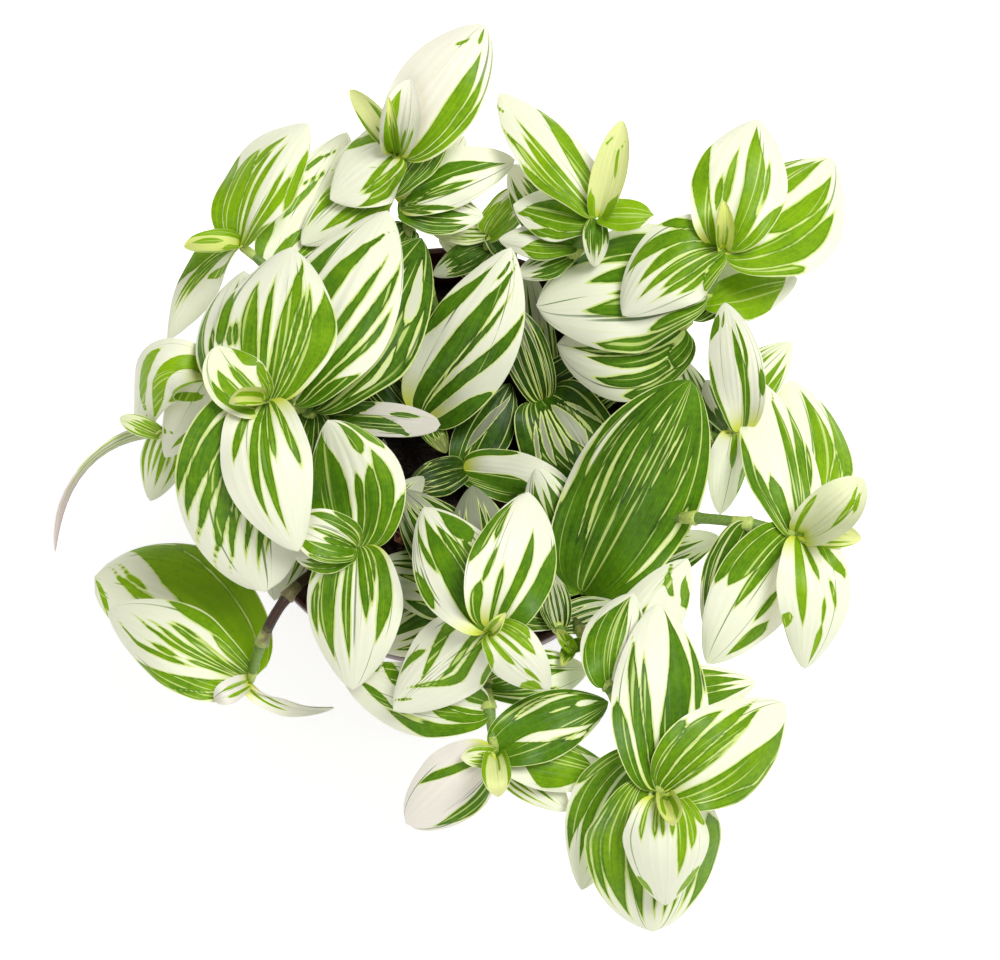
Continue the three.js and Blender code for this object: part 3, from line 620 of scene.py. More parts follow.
            (12, 165, 16, -2, 9, 2, 0, 0, 0, 0.4, 0, 0.4, 0),
        ],
    },
    "stem_front_low": {
        "root": (8, -46), "lean": (10, -66, 132), "tip": (13, -88, 118),
        "leaves": [
            (0, 274, 11, 7, 9, 1, 0, 0, 0.5, 0.3, 0, 0.8, 0),
            (1, 25, 33, -2, 18, 4, 1, 0, 0, 0.7, 0, 0.45, 0),
            (1, 350, 33, -8, 15, 4, 0, 0, 0, 0.5, 0, 0.7, 0),
            (1, 215, 29, -16, 20, 5, 0, 0, 0, 0.2, 0, 0.5, 0.6, 0.5),
            (2, 322, 25, -8, 13, 3, 0, 0, 0, 0.15, 0, 0.8, 0.2),
            (0, 182, 9, 2, 7, 1, 0, 0, 0.4, 0.3, 0, 0.9, 0),
            (13, 163, 42, -14, 20, 5, 3, 0, 0, 0.25, -0.5, 0.55, 0),
            (20, 12, 28, -10, 16, 4, 0, 0, 0, 0.5, 0, 0.5, 0),
        ],
    },
    "stem_front_right": {
        "root": (28, -33), "lean": (38, -62, 136), "tip": (57, -100, 123),
        "leaves": [
            (0, 280, 7, 7, 9, 1, 0, 0, 0.8, 0.2, 0, 0.9, 0),
            (3, 90, 49, 2, 26, 5, 0, 0, 0, 0.5, 0, 0.45, 0),
            (2, 38, 42, -11, 28, 5, 0, 0, 0, 0.45, 0, 0.7, 0),
            (1, 272, 26, -16, 22, 6, 0, 0, 0, 0.2, 0, 0.9, 0),
            (6, 271, 38, -26, 37, 8, 0, 0, 0, 0.6, 0, 0.7, 0, 0.5),
            (12, 244, 36, -26, 21, 7, -3, 0, 0, 0.6, 0, 0.6, 0),
            (33, 76, 27, -4, 17, 3, 2, 0, 0, 0.8, 0, 0.5, 0),
            (34, 57, 40, 0, 18, 4, 0, 0, 0, 0.3, 0, 0.6, 0),
            (26, 15, 38, -14, 17, 4, 0, 0, 0, 0.7, 0, 0.6, 0),
            (19, 330, 30, -16, 18, 4, 0, 0, 0, 0.5, 0, 0.3, 0),
        ],
    },
    "stem_hanging": {
        "root": (-30, -30), "lean": (-44, -42, 138), "tip": (-55, -64, 90),
        "leaves": [
            (2, 148, 56, -7, 36, 9, -6, 0, 0, 0.6, 0.6, 1, 0, 0.5),
            (1, 151, 47, -15, 23, 6, 0.5, -25, 0, 0.3, -0.7, 0.75, 0),
            (0, 200, 9, -2, 8, 1, 0, 0, 0.5, 0.4, 0, 0.9, 0.5),
            (0, 347, 23, -12, 7, 2, -4, 65, 0.4, 0.2, 0, 0.9, 0.2),
        ],
    },
}
print("stems:", len(stems), "leaves:", sum(len(stem["leaves"]) for stem in stems.values()))

# %% [markdown]
# ## The form of a leaf
# A leaf's midrib is one bent line. Its outline swells quickly from the stem and narrows to a pointed tip,
# and its section changes along the way: a gutter where it leaves the stem, then a low dome. A young leaf
# is rolled up lengthwise. Written as a formula of two numbers, across from -1 at the right edge to 1 at the
# left and along from 0 at the stem to 1 at the tip, the same rule serves for every leaf.

# %% Leaf formula
soil_top = 86.0
swell_power = 0.55
point_power = 0.68
sheath_half_width = 1.4
blade_thickness = 0.42
knee_share = 0.45
gutter_depth, gutter_end = 0.55, 0.4
dome_height = 0.3


def unit(vectors):
    return vectors / np.linalg.norm(vectors, axis=-1, keepdims=True)


def smooth(value, low, high):
    x = np.clip((value - low) / (high - low), 0, 1)
    return x * x * (3 - 2 * x)


def on_line(line, along):
    """Points of a line that leaves its first point towards the second and ends at the third."""
    along = np.asarray(along, float)[..., None]
    first, second, third = line
    return (1 - along) ** 2 * first + 2 * along * (1 - along) * second + along ** 2 * third


def line_way(line, along):
    along = np.asarray(along, float)[..., None]
    first, second, third = line
    return unit((1 - along) * (second - first) + along * (third - second))


def stem_line(stem):
    corners = ((*stem["root"], soil_top + 2), stem["lean"], stem["tip"])
    return [np.array(corner, float) for corner in corners]


def line_length(line):
    points = on_line(line, np.linspace(0, 1, 201))
    return np.concatenate([[0], np.cumsum(np.linalg.norm(np.diff(points, axis=0), axis=1))])


def along_at(line, below):
    """Where on a stem's line the point lies that is so many millimetres below its tip."""
    walked = line_length(line)
    return np.interp(walked[-1] - below, walked, np.linspace(0, 1, 201))


class Leaf:
    """One row of the plan, with its midrib worked out. Rolled leaves, and those near a tip, are young."""

    def __init__(self, name, number, row):
        below, compass, reach, rise, width, arch, bow, roll, curl, share, side, tone, pink = row[:13]
        line = stem_line(stems[name])
        base = on_line(line, along_at(line, below))
        angle = math.radians(compass)
        ahead = np.array((math.cos(angle), math.sin(angle), 0.0))
        self.left = np.array((-ahead[1], ahead[0], 0.0))
        end = base + ahead * reach + np.array((0, 0, rise))
        knee = base + knee_share * (end - base) + np.array((0, 0, 2.0 * arch)) + self.left * 2 * bow
        self.midrib = [base, knee, end]
        self.name, self.number, self.below = name, number, below
        self.width, self.roll, self.curl = width, math.radians(roll), curl
        self.share, self.side, self.tone, self.pink = share, side, tone, pink
        self.point = row[13] if len(row) > 13 else point_power
        newest = min(0.45 + 0.9 * curl, 1) * (1 - pink)
        self.youth = newest if curl > 0.15 else 0.3 * (below < 5)
        self.bend = np.zeros(3)
        self.own = random.Random(f"{name} {number}").random()


def half_width(leaf, along):
    """Half of the blade's width: a sheath's at the foot, and nothing at the tip."""
    widest_at = swell_power / (swell_power + leaf.point)
    widest = widest_at ** swell_power * (1 - widest_at) ** leaf.point
    outline = along ** swell_power * (1 - along) ** leaf.point / widest
    return 0.5 * leaf.width * outline + sheath_half_width * (1 - along) ** 10


def leaf_frame(leaf, along):
    """The midrib's points, and the directions to the leaf's left edge and out of its upper face."""
    ahead = line_way(leaf.midrib, along)
    left = unit(leaf.left - ahead * np.sum(leaf.left * ahead, axis=-1, keepdims=True))
    above = np.cross(ahead, left)
    cos, sin = math.cos(leaf.roll), math.sin(leaf.roll)
    return on_line(leaf.midrib, along), left * cos + above * sin, above * cos - left * sin


def dome(leaf, along):
    """How high the blade's middle stands over its edges, where the leaf isn't rolled."""
    return dome_height * (1 - leaf.curl) * smooth(along, 0.1, 0.5)


def plain_leaf(leaf, across, along):
    """The leaf with the simple section that its solid has."""
    spine, side, normal = leaf_frame(leaf, along)
    half = half_width(leaf, along)
    trough = gutter_depth * (1 - smooth(along, 0, gutter_end)) + 0.9 * leaf.curl
    height = half * (trough * np.abs(across) - dome(leaf, along) * across ** 2)
    return spine + side * (across * half)[..., None] + normal * height[..., None]


def bend_shares(across, along):
    """How far each of a leaf's three bends moves a point: one lifts the tip, one the middle, one a side."""
    middle = 4 * along * (1 - along)
    return np.stack([along, middle, across * middle], axis=-1)


leaves = []
for name, stem in stems.items():
    leaves += [Leaf(name, number, row) for number, row in enumerate(stem["leaves"])]
print("longest leaf, mm:", round(max(line_length(leaf.midrib)[-1] for leaf in leaves)))

# %% [markdown]
# ## Leaves make way for each other
# Real leaves never grow through each other: they push and bend until they lie free. Here each pair that
# overlaps, seen along one fixed direction, keeps its order, and both leaves give way a little at a time
# until two millimetres lie between them. The fixed direction is the way the camera looks, nearly straight
# down, so the outlines in the picture hardly change while the leaves sort themselves out.

# %% Bend the leaves clear
give_tilt = math.radians(14)
give = np.array((0.0, -math.sin(give_tilt), math.cos(give_tilt)))
leaf_gap = 2.0
most_bend = np.array((14.0, 8.0, 6.0))
bend_rounds = 160
cell = 2.0
half_steps_across, steps_along = 10, 36


def meetings():
    """A row for each place where two leaves pass over each other, with how far apart they should be."""
    cells = {}
    across_steps = -1 + np.arange(2 * half_steps_across + 1) / half_steps_across
    along_steps = np.arange(1, steps_along + 1) / steps_along
    across, along = np.meshgrid(across_steps, along_steps, indexing="ij")
    across, along = across.ravel(), along.ravel()
    for index, leaf in enumerate(leaves):
        points = plain_leaf(leaf, across, along)
        heights = points @ give
        columns = np.floor(points[:, 0] / cell + 0.5).astype(int)
        rows = np.floor((points[:, 1] * give[2] - points[:, 2] * give[1]) / cell + 0.5).astype(int)
        for key, u, t, height in zip(zip(columns, rows), across, along, heights):
            cells.setdefault(key, {})[index] = (u, t, height)
    pairs = {}
    for held in cells.values():
        numbers = sorted(held)
        for i, low in enumerate(numbers):
            for high in numbers[i + 1:]:
                pairs.setdefault((low, high), []).append((held[low], held[high]))
    found = []
    for (low, high), shared in pairs.items():
        same_stem = leaves[low].name == leaves[high].name
        order = leaves[high].below - leaves[low].below if same_stem else 0
        if order == 0:
            order = sum(a[2] - b[2] for a, b in shared)
        for a, b in shared:
            gap = leaf_gap * min(1, 2.5 * min(a[1], b[1])) if same_stem else leaf_gap
            over, under = ((low, a), (high, b)) if order > 0 else ((high, b), (low, a))
            found.append((over[0], under[0], *over[1], *under[1], gap))
    return np.array(found)


def bend_clear():
    """Every round, each leaf gives way by a quarter of what its meetings ask of it."""
    table = meetings()
    over, under = table[:, 0].astype(int), table[:, 1].astype(int)
    over_share = bend_shares(table[:, 2], table[:, 3])
    under_share = bend_shares(table[:, 5], table[:, 6])
    apart = table[:, 4] - table[:, 7]
    bends = np.zeros((len(leaves), 3))
    for _ in range(bend_rounds):
        lifted = np.sum(bends[over] * over_share, axis=1) - np.sum(bends[under] * under_share, axis=1)
        short = np.maximum(table[:, 8] - (apart + lifted), 0)
        touching = (short > 0).astype(float)
        push = np.zeros_like(bends)
        weight = np.ones_like(bends)
        for k in range(3):
            push[:, k] += np.bincount(over, short * over_share[:, k], len(leaves))
            push[:, k] -= np.bincount(under, short * under_share[:, k], len(leaves))
            weight[:, k] += np.bincount(over, touching * over_share[:, k] ** 2, len(leaves))
            weight[:, k] += np.bincount(under, touching * under_share[:, k] ** 2, len(leaves))
        bends = np.clip(bends + 0.25 * push / weight, -most_bend, most_bend)
    for leaf, bend in zip(leaves, bends):
        leaf.bend = bend
    return len(table)


print("places where leaves pass over each other:", bend_clear())

# %% [markdown]
# ## Stripes
# Each leaf carries its own set of stripes. A stripe is written as half its width and then the points that
# its middle runs through, each as across and along. It narrows to a point at its end, and where two would
# run together, a fine line is left between them. The leaves that face the camera are the ones a viewer
# compares, so their stripes are set by eye, and on a few of them, where green is the ground, the set
# stripes are the white ones. The other leaves draw theirs by a rule from a fixed seed, wide and narrow ones
# in turn. The field that comes out is above zero in green tissue. It is stored on the vertices, and the
# material finds a crisp seam between two of them.

# %% Stripes set one by one
set_stripes = {
    "back_left": {
        0: [(.2, .36,0, .45,.4, .5,.66), (.06, .3,.5, .25,.7, .14,.84), (.24, .9,0, .93,.55),
            (.035, .12,.1, .13,.5, .16,.8), (.045, -.1,.05, -.07,.4, -.12,.82), (.03, -.48,.1, -.5,.68),
            (.07, -.72,.05, -.68,.35, -.78,.7), (.14, -.97,.3, -.9,.86), (.15, -.95,0, -1,.2)],
        1: [(.17, .95,.15, .95,.82), (.14, -.15,.25, -.2,.86), (.25, -.8,.15, -.92,.9),
            (.32, .5,0, .5,.3)],
        2: [(.12, 1,.2, .7,.28, .38,.42), (.03, .18,.1, .2,.45, .15,.72), (.03, .08,.1, .1,.75),
            (.035, -.05,.1, 0,.5, -.15,.88), (.04, -.12,.2, -.12,.5, -.35,.85),
            (.28, -.5,.12, -.6,.45, -.9,.72)],
        3: [(.07, .45,.3, .25,.48, .02,.66), (.08, .75,.62, .45,.78, -.1,.88),
            (.14, .1,.03, -.1,.2, -.4,.36), (.14, .85,.02, .62,.3), (.04, .5,.55, .1,.68, -.35,.76),
            (.12, -.75,.05, -.85,.6), (.05, .6,.4, .5,.62)],
    },
    "left": {
        0: [(.1, .66,.1, .68,.65), (.14, .3,.1, .33,.72), (.05, -.08,.1, -.1,.74),
            (.04, -.25,.1, -.22,.7), (.22, -.75,.45, -.9,.9), (.12, -.6,.08, -.9,.5),
            (.1, -.95,.05, -1,.3)],
        1: [(.16, .4,0, .25,.9), (.12, -.45,0, -.4,.8)],
        2: [(.09, .9,.3, .95,.72), (.035, .72,.3, .75,.48), (.035, .62,.3, .66,.5),
            (.1, .32,.05, .42,.45, .52,.76), (.04, .1,.1, .18,.8),
            (.09, -.1,.05, -.18,.5, -.35,.8, -.6,.93, -1,.97), (.04, -.25,.12, -.36,.55, -.5,.75),
            (.04, -.36,.12, -.52,.6, -.6,.8), (.16, -.62,.02, -.75,.5, -.92,.78)],
        3: [(.07, .08,.02, .05,.1, -.05,.92), (.065, 0,.02, -.15,.2, -.42,.83),
            (.06, .4,.02, .52,.15, .75,.57), (.055, .15,.05, .23,.46), (.07, -.35,.05, -.5,.18, -.7,.42)],
        4: [(.05, .28,.15, .12,.45, -.05,.62, -.35,.83, -.8,.94),
            (.085, .08,.1, -.04,.33, -.22,.58, -.5,.78, -1,.9),
            (.06, -.12,.08, -.26,.3, -.4,.5, -.65,.68, -1,.81),
            (.1, -.32,.04, -.5,.25, -.63,.45, -.9,.68), (.13, -.72,.03, -.88,.2, -1,.6),
            (.06, .75,.2, .64,.5, .5,.7, .25,.87), (.06, .5,.2, .42,.5, .28,.74, .05,.92),
            (.05, .34,.25, .22,.57, .08,.72, -.15,.87)],
        6: [(.12, .85,.1, .8,.4, .72,.62, .66,.88),
            (.12, .42,.1, .4,.2, .28,.53, .2,.69, 0,.81, -.35,.9, -.95,.95),
            (.045, 0,.05, -.1,.25, -.25,.51, -.39,.69, -.6,.84),
            (.065, -.3,.1, -.42,.26, -.57,.485, -.74,.69, -.95,.85),
            (.035, -.5,.1, -.6,.23, -.77,.42, -.88,.62), (.24, -.85,0, -.95,.22)],
        7: [(.1, -.64,.56, -.62,.75, -.5,.92), (.035, -.7,.08, -.76,.25, -.64,.52),
            (.03, -.92,.4, -.85,.75), (.07, .3,.2, .2,.9), (.06, -.2,.2, -.15,.9), (.07, .8,.3, .7,.85)],
        9: [(.12, .32,.58, .4,.84), (.28, .1,.08, .5,.28, 1,.5), (.3, -.25,.2, -.2,.5, -.5,.68, -1,.78)],
    },
    "far_left": {
        0: [(.2, -.3,.13, .03,.33, .4,.56, .9,.8), (.18, -.7,.36, -.4,.56, 0,.73, .6,.83),
            (.08, .95,.1, .9,.6)],
        1: [(.22, .25,.25, -.75,.5), (.1, 0,.76, -1,.85), (.12, .9,.5, .2,.9)],
    },
    "back": {
        0: [(.13, -.55,.08, -.44,.4, -.45,.84), (.07, -.68,.08, -.76,.73), (.06, -.25,.86, -.2,.97),
            (.04, .4,.78, .2,.86), (.045, -.85,.08, -.92,.6)],
        1: [(.1, .95,.06, .74,.31, .72,.56, .95,.84), (.07, .56,.08, .46,.4, .54,.7),
            (.06, .05,.04, .28,.43, .45,.71), (.09, -.65,.12, -.78,.4, -.88,.62)],
        3: [(.2, .5,0, .45,.5, .4,.85), (.04, -.2,.05, -.25,.35), (.04, -.55,.05, -.6,.4)],
        5: [(.12, .75,0, .85,.8), (.12, -.5,0, -.6,.75), (.06, .1,.05, .15,.5)],
    },
    "back_lower": {
        0: [(.19, -.25,.04, .13,.3, .27,.5, .16,.65, .02,.8, -.15,.93),
            (.06, -.22,.1, -.2,.31, -.37,.67), (.035, -.32,.2, -.47,.54), (.07, -.5,.06, -1,.43),
            (.06, -.65,.03, -1,.25), (.14, -.2,0, -.4,.14)],
    },
    "middle_left": {
        0: [(.13, 1,.3, .88,.5, .68,.68, .46,.88),
            (.15, .46,.02, .27,.28, .14,.51, -.07,.73, -.4,.87, -.93,.96),
            (.035, .22,.08, .06,.31, -.15,.51, -.37,.68, -.65,.84),
            (.1, .05,.03, -.28,.31, -.62,.51, -1,.74), (.3, -.8,0, -1.1,.34),
            (.05, .1,.8, -.3,.93, -.8,.975)],
    },
    "back_right": {
        0: [(.07, .62,.05, .66,.45, .74,.64, 1,.84), (.12, .92,.05, .93,.55), (.07, .4,.08, .42,.7),
            (.045, .14,.1, .2,.43, .28,.83), (.17, -.3,.12, -.5,.43, -.68,.61, -.95,.82),
            (.05, .52,.86, 1,.95)],
        1: [(.06, .75,.7, .3,.83), (.05, -.35,.35, -.18,.68, -.8,.86), (.25, .7,0, .8,.25),
            (.32, -.7,0, -.8,.25)],
        2: [(1.18, .2,0, .2,.98)],
        3: [(.4, .3,.05, .1,.5, .2,.8, .7,.93), (.1, .85,.12, .75,.5, 1,.8)],
        4: [(.53, .45,0, .6,.7), (.17, -.4,.1, -.42,.8)],
    },
    "right_upper": {
        0: [(.1, .5,0, .4,.5), (.05, -.3,.05, -.2,.45)],
        1: [(.14, .45,.04, .68,.25, .87,.5, 1,.75), (.045, .36,.22, .4,.5), (.05, .2,.22, .27,.74),
            (.17, -.35,.15, -.3,.5, -.2,.69, -.05,.94), (.045, -.5,.22, -.55,.72),
            (.14, -.75,.03, -1,.42)],
        2: [(.09, .3,.5, .33,.75, .34,.97), (.12, .88,.72, .98,.93), (.13, .62,.4, .55,.7, .5,.93),
            (.13, -.05,.25, -.2,.58, -.32,.9), (.09, -.36,.06, -.4,.5, -.5,.76),
            (.11, -.6,.04, -.62,.4, -.68,.74), (.1, -.95,.12, -.9,.35), (.12, .3,.02, .3,.4),
            (.16, .75,.03, .8,.4)],
        3: [(.04, .62,.1, .68,.62), (.045, .45,.08, .5,.8), (.06, .3,.08, .35,.7),
            (.065, .05,.08, .1,.55, .12,.88), (.09, -.15,.05, -.2,.3, -.22,.8),
            (.13, -.28,.1, -.49,.31, -.63,.56, -.81,.8), (.1, -.6,.15, -1,.42), (.28, .85,0, .9,.32)],
        4: [(.12, .98,.05, .92,.73), (.1, .3,.15, .38,.76), (.035, .1,.2, .14,.6),
            (.09, -.2,.15, -.12,.72), (.13, -.62,.06, -.66,.86), (.035, -.4,.1, -.42,.7),
            (.1, .7,.02, .72,.35)],
        5: [(.53, -.5,.2, -.5,.6, -.1,.85, .8,.95), (.14, .75,.35, 1,.76)],
        6: [(.08, .62,.2, .66,.74), (.14, .93,.05, .9,.55), (.08, .38,.1, .32,.4, .22,.8),
            (.08, .08,.15, .03,.92), (.25, .6,.02, .62,.24), (.14, -.3,.1, -.35,.9),
            (.17, -.7,.1, -.7,.85)],
    },
    "right_middle": {
        0: [(.1, -.25,.02, -.2,.35, -.06,.55, .02,.82), (.045, -.3,.4, -.35,.6, -.28,.86),
            (.1, -.87,.22, -.85,.44), (.09, .98,.05, .98,.6), (.2, 1,.72, .8,.9), (.04, .5,.78, .35,.92)],
        3: [(.12, .13,.06, .2,.5), (.14, .8,.4, 1,.82)],
    },
    "middle_right": {
        0: [(.015, .45,.06, .52,.3, .62,.56, .66,.9), (.02, .28,.06, .39,.31, .47,.56, .53,.88),
            (.008, .2,.25, .28,.56, .33,.9), (.05, .92,.25, .98,.5, .97,.7),
            (.04, .72,.35, .8,.6, .8,.94), (.01, .6,.4, .7,.62, .74,.92), (.015, .17,.7, .16,.91),
            (.006, .06,.3, .1,.6, .08,.92), (.006, -.08,.4, -.1,.7, -.16,.92),
            (.012, -.2,.45, -.24,.68, -.34,.81, -.46,.92), (.008, -.3,.55, -.42,.8, -.52,.91),
            (.03, -.7,.08, -.78,.3, -.86,.6), (.008, -.5,.3, -.6,.6, -.7,.86)],
    },
    "middle_back": {
        0: [(.045, .3,.12, .85,.62), (.045, .2,.08, .52,.68), (.16, .1,.1, .22,.72),
            (.06, -.02,.08, -.14,.72), (.07, -.1,.08, -.36,.76), (.07, -.2,.08, -.62,.72),
            (.045, -.4,.15, -.9,.7)],
    },
    "middle": {
        0: [(.1, .8,.12, .93,.48), (.32, -.52,.08, -.35,.68), (.17, -.8,.08, -.85,.62)],
        2: [(.14, .33,.15, .12,.45, -.07,.68, -.55,.95)],
    },
    "right": {
        0: [(.06, .6,.1, .73,.48), (.16, .38,.08, .4,.37), (.09, -.18,.12, -.3,.56, -.37,.83, -.8,.93),
            (.1, -.42,.15, -.6,.48, -.85,.75, -1,.84), (.05, -.6,.22, -.9,.56), (.17, .97,.08, 1,.7)],
        1: [(.16, -.4,.1, -.42,.5, -.3,.93), (.15, -.7,.25, -.85,.6, -.92,.87), (.2, -.65,.1, -.68,.55),
            (.12, .3,.1, .3,.8), (.12, .7,.1, .7,.8)],
        2: [(.07, .55,.08, .82,.48), (.06, -.5,.25, -.38,.5, -.28,.7, -.02,.88, .7,.95),
            (.07, -.62,.58, -.38,.84)],
        4: [(.08, .25,.7, .22,.96), (.03, .24,.5, .25,.72), (.035, .39,.36, .6,.62),
            (.12, .5,.2, .85,.38), (.1, -.35,.06, -.37,.73), (.045, -.07,.1, .14,.4),
            (.12, -.72,.63, -1,.76)],
        6: [(.05, .45,.38, .42,.66), (.09, -.08,.12, -.12,.35, -.2,.66), (.24, -.5,.05, -.6,.56),
            (.22, -.9,.05, -.92,.6), (.12, .7,.6, .62,.9)],
    },
    "front_left": {
        0: [(.35, .6,.2, .62,.5, .75,.95), (.07, -.08,.2, -.07,.56), (.16, -.3,.06, -.33,.35, -.37,.59),
            (.14, -.55,.06, -.6,.7), (.19, -.95,.02, -1,.37), (.12, -.33,.66, -.5,.96),
            (.14, -.9,.68, -.85,.96)],
        1: [(.2, .3,.02, .55,.45, .7,.85), (.05, -.1,.05, -.1,.74), (.13, -.45,.05, -.6,.4, -.78,.82),
            (.2, .95,.02, .95,.6), (.1, .05,.02, .1,.5), (.12, -.9,.02, -.95,.5)],
        3: [(.1, .74,.03, .64,.4, .56,.72), (.03, .5,.03, .44,.3), (.035, .32,.06, .38,.48),
            (.06, .14,.04, .2,.31, .28,.58), (.06, -.14,.1, -.16,.45, -.1,.86),
            (.13, -.5,.06, -.58,.5, -.6,.84), (.05, -.78,.25, -.87,.7), (.08, -.97,.05, -.98,.3)],
    },
    "front": {
        0: [(.16, .4,0, .25,.85), (.1, -.5,0, -.4,.7)],
        1: [(.035, .57,.26, .5,.4, .42,.6), (.04, .15,.12, .18,.47), (.08, -.15,.15, -.3,.5, -.35,.75),
            (.12, .75,.03, .6,.3), (.3, -.75,.05, -.98,.4, -1.1,.75), (.15, .95,.4, .88,.7, .8,.94),
            (.05, .54,.6, .6,.75, .66,.9)],
        2: [(.04, .42,.48, .56,.7, .78,.95), (.17, .3,.1, .18,.5, .28,.95),
            (.1, -.2,.3, -.16,.6, -.04,.85), (.15, .95,.3, 1,.66), (.22, -.55,.62, -.62,.93),
            (.05, -.42,.4, -.4,.7)],
        5: [(.08, .12,.05, .22,.16, .38,.33, .52,.485, .42,.6, .1,.74, -.33,.87),
            (.055, -.12,.08, -.05,.2, .12,.36, .24,.5, .26,.62),
            (.1, -.66,.1, -.6,.33, -.36,.5, -.02,.74), (.05, .3,.84, -.1,.92, -.7,.97),
            (.07, -.5,.55, -.75,.72, -.9,.85), (.08, .9,.1, .95,.4)],
        6: [(.2, .75,.03, .75,.45), (.12, .48,.1, .5,.64), (.04, .08,.1, .1,.57),
            (.07, -.36,.08, -.33,.55), (.05, -.2,.6, -.15,.88), (.28, -.75,.74, -.62,.93),
            (.1, -.8,.2, -.95,.35)],
    },
    "front_low": {
        0: [(.12, .8,0, .85,.8), (.12, -.8,0, -.85,.8), (.04, .2,.05, .2,.4)],
        1: [(.05, .6,.2, .85,.82), (.07, .5,.22, .66,.6, .72,.86), (.12, .25,.74, .3,.93),
            (.03, .27,.5, .25,.75), (.13, 0,.15, -.25,.385, -.5,.61, -.8,.88),
            (.09, -.4,.45, -.68,.66, -.95,.85), (.13, -.95,.72, -1,.95)],
        2: [(.64, -.2,.25, .1,.82), (.09, .7,.55, .9,.85)],
        3: [(.12, .7,.1, .8,.5, .76,.86), (.085, -.13,.15, -.3,.44, -.68,.77)],
        6: [(.16, .85,.02, .82,.3, .58,.64), (.14, .5,.08, .3,.25, .13,.4), (.07, .25,.05, .05,.28),
            (.25, -.5,.02, -.5,.2), (.1, .5,.6, .1,.86), (.16, -.15,.6, -1,.8), (.12, -.5,.78, -1,.88),
            (.06, .75,.3, .5,.6)],
    },
    "front_right": {
        0: [(.12, .45,0, .35,.8), (.1, -.4,0, -.3,.6)],
        1: [(.075, .42,.1, .44,.28, .55,.56, .75,.8, 1,.87), (.055, .2,.15, .3,.5, .42,.76),
            (.16, .85,.02, .88,.5), (.2, -.1,.02, -.25,.35, -.45,.65, -.47,.97),
            (.055, -.72,.35, -.85,.65, -.92,.85), (.04, -.98,.5, -1,.7)],
        2: [(.09, .2,.1, .3,.38, .42,.65, .6,.82, .85,.9), (.09, .08,.15, .12,.5, .22,.72, .42,.88),
            (.05, -.02,.15, 0,.4, .1,.72), (.1, .52,.1, .68,.5, .74,.68), (.19, .9,.03, .93,.45),
            (.25, -.6,.1, -.68,.45, -.76,.93), (.32, -.95,.03, -.95,.6), (.17, -1,.5, -1,.78)],
        3: [(.075, .42,.05, .36,.4, .34,.76), (.065, .68,.08, .58,.53), (.12, .95,.03, .92,.28),
            (.035, .18,.1, .14,.4), (.035, -.1,.08, -.08,.4), (.04, -.28,.08, -.27,.42),
            (.04, -.6,.05, -.58,.45), (.16, .98,.7, .9,.8, .7,.92), (.12, -.9,.78, -.8,.92)],
        4: [(.13, .88,.25, .86,.93), (.06, .62,0, .62,.95), (.06, .42,0, .42,.95), (.08, .2,0, .25,.95),
            (.05, 0,0, .02,.95), (.09, -.28,0, -.27,.96), (.13, -.6,.05, -.6,.94),
            (.05, -.82,.05, -.84,.9), (.06, -1,.05, -.98,.85)],
        5: [(.09, -.3,.2, -.3,.87), (.17, -.5,.1, -.55,.4, -.72,.65, -.85,.83), (.16, -.8,.05, -1,.45),
            (.12, .1,.1, .1,.9), (.14, .5,.1, .5,.9), (.12, .85,.1, .85,.85)],
        6: [(.42, .5,.03, .3,.45, .1,.95), (.14, -.7,.1, -.8,.9)],
        7: [(.16, -.35,.71, .1,.79, .4,.86), (.07, .3,.84, .6,.9, 1,.94),
            (.2, -.95,.7, -.75,.8, -.5,.88), (.08, .3,.1, .25,.6), (.2, -.6,.05, -.7,.6)],
    },
    "hanging": {
        0: [(.34, -.3,0, -.34,.4, -.5,.66, -.75,.82, -1,.92), (.3, -.75,.1, -.85,.45, -1,.75),
            (.06, .3,.55, .22,.76, 0,.88, -.45,.955), (.03, .12,.7, -.1,.84, -.5,.925),
            (.12, 1,.88, .6,.94, .3,.98)],
        1: [(.13, .3,.06, .55,.22, .8,.48, 1,.78), (.07, .62,.02, .85,.2, 1,.45),
            (.035, .2,.3, .3,.55, .38,.75, .2,.88, -.3,.94, -.9,.97), (.035, .14,.44, .14,.66),
            (.03, 0,.14, -.05,.5, -.2,.7, -.42,.84), (.03, -.08,.14, -.15,.45, -.4,.72),
            (.03, .05,.2, .12,.4), (.07, -.12,.04, -.3,.3, -.48,.6), (.035, -.3,.2, -.55,.58),
            (.2, -.95,.14, -1,.68), (.12, -.55,.03, -.72,.32)],
        2: [(.1, .4,0, .3,.6), (.08, -.3,0, -.3,.7)],
        3: [(.08, .3,0, .2,.5), (.06, -.4,0, -.35,.6)],
    },
}
white_on_green = {("front_low", 1), ("left", 7), ("middle", 2), ("middle_back", 0), ("middle_right", 0)}
print("leaves with stripes set by eye:", sum(len(rows) for rows in set_stripes.values()))

# %% Drawn stripes
wide_pitch, narrow_pitch = (0.3, 0.46), (0.14, 0.24)
least_share, most_share = 0.12, 0.9


def drawn_stripes(leaf):
    """Stripes from the right edge to the left one, each with the share of its pitch that is green."""
    draw = random.Random(f"stripes of {leaf.name} {leaf.number}")
    stripes = []
    edge = -1.0 - draw.uniform(0, 0.15)
    wide = draw.random() < 0.5
    while edge < 1.0:
        pitch = draw.uniform(*(wide_pitch if wide else narrow_pitch))
        middle = edge + 0.5 * pitch
        share = leaf.share + 0.5 * leaf.side * middle + draw.uniform(-0.05, 0.28)
        share = min(max(share, least_share), most_share)
        end = draw.uniform(0.8, 0.97) if draw.random() < 0.7 else draw.uniform(0.5, 0.8)
        lean = draw.uniform(-0.06, 0.06)
        stripes.append((0.5 * pitch * share, middle - lean, 0.0, middle + lean, end))
        edge += pitch
        wide = draw.random() < (0.25 if wide else 0.75)
    return stripes


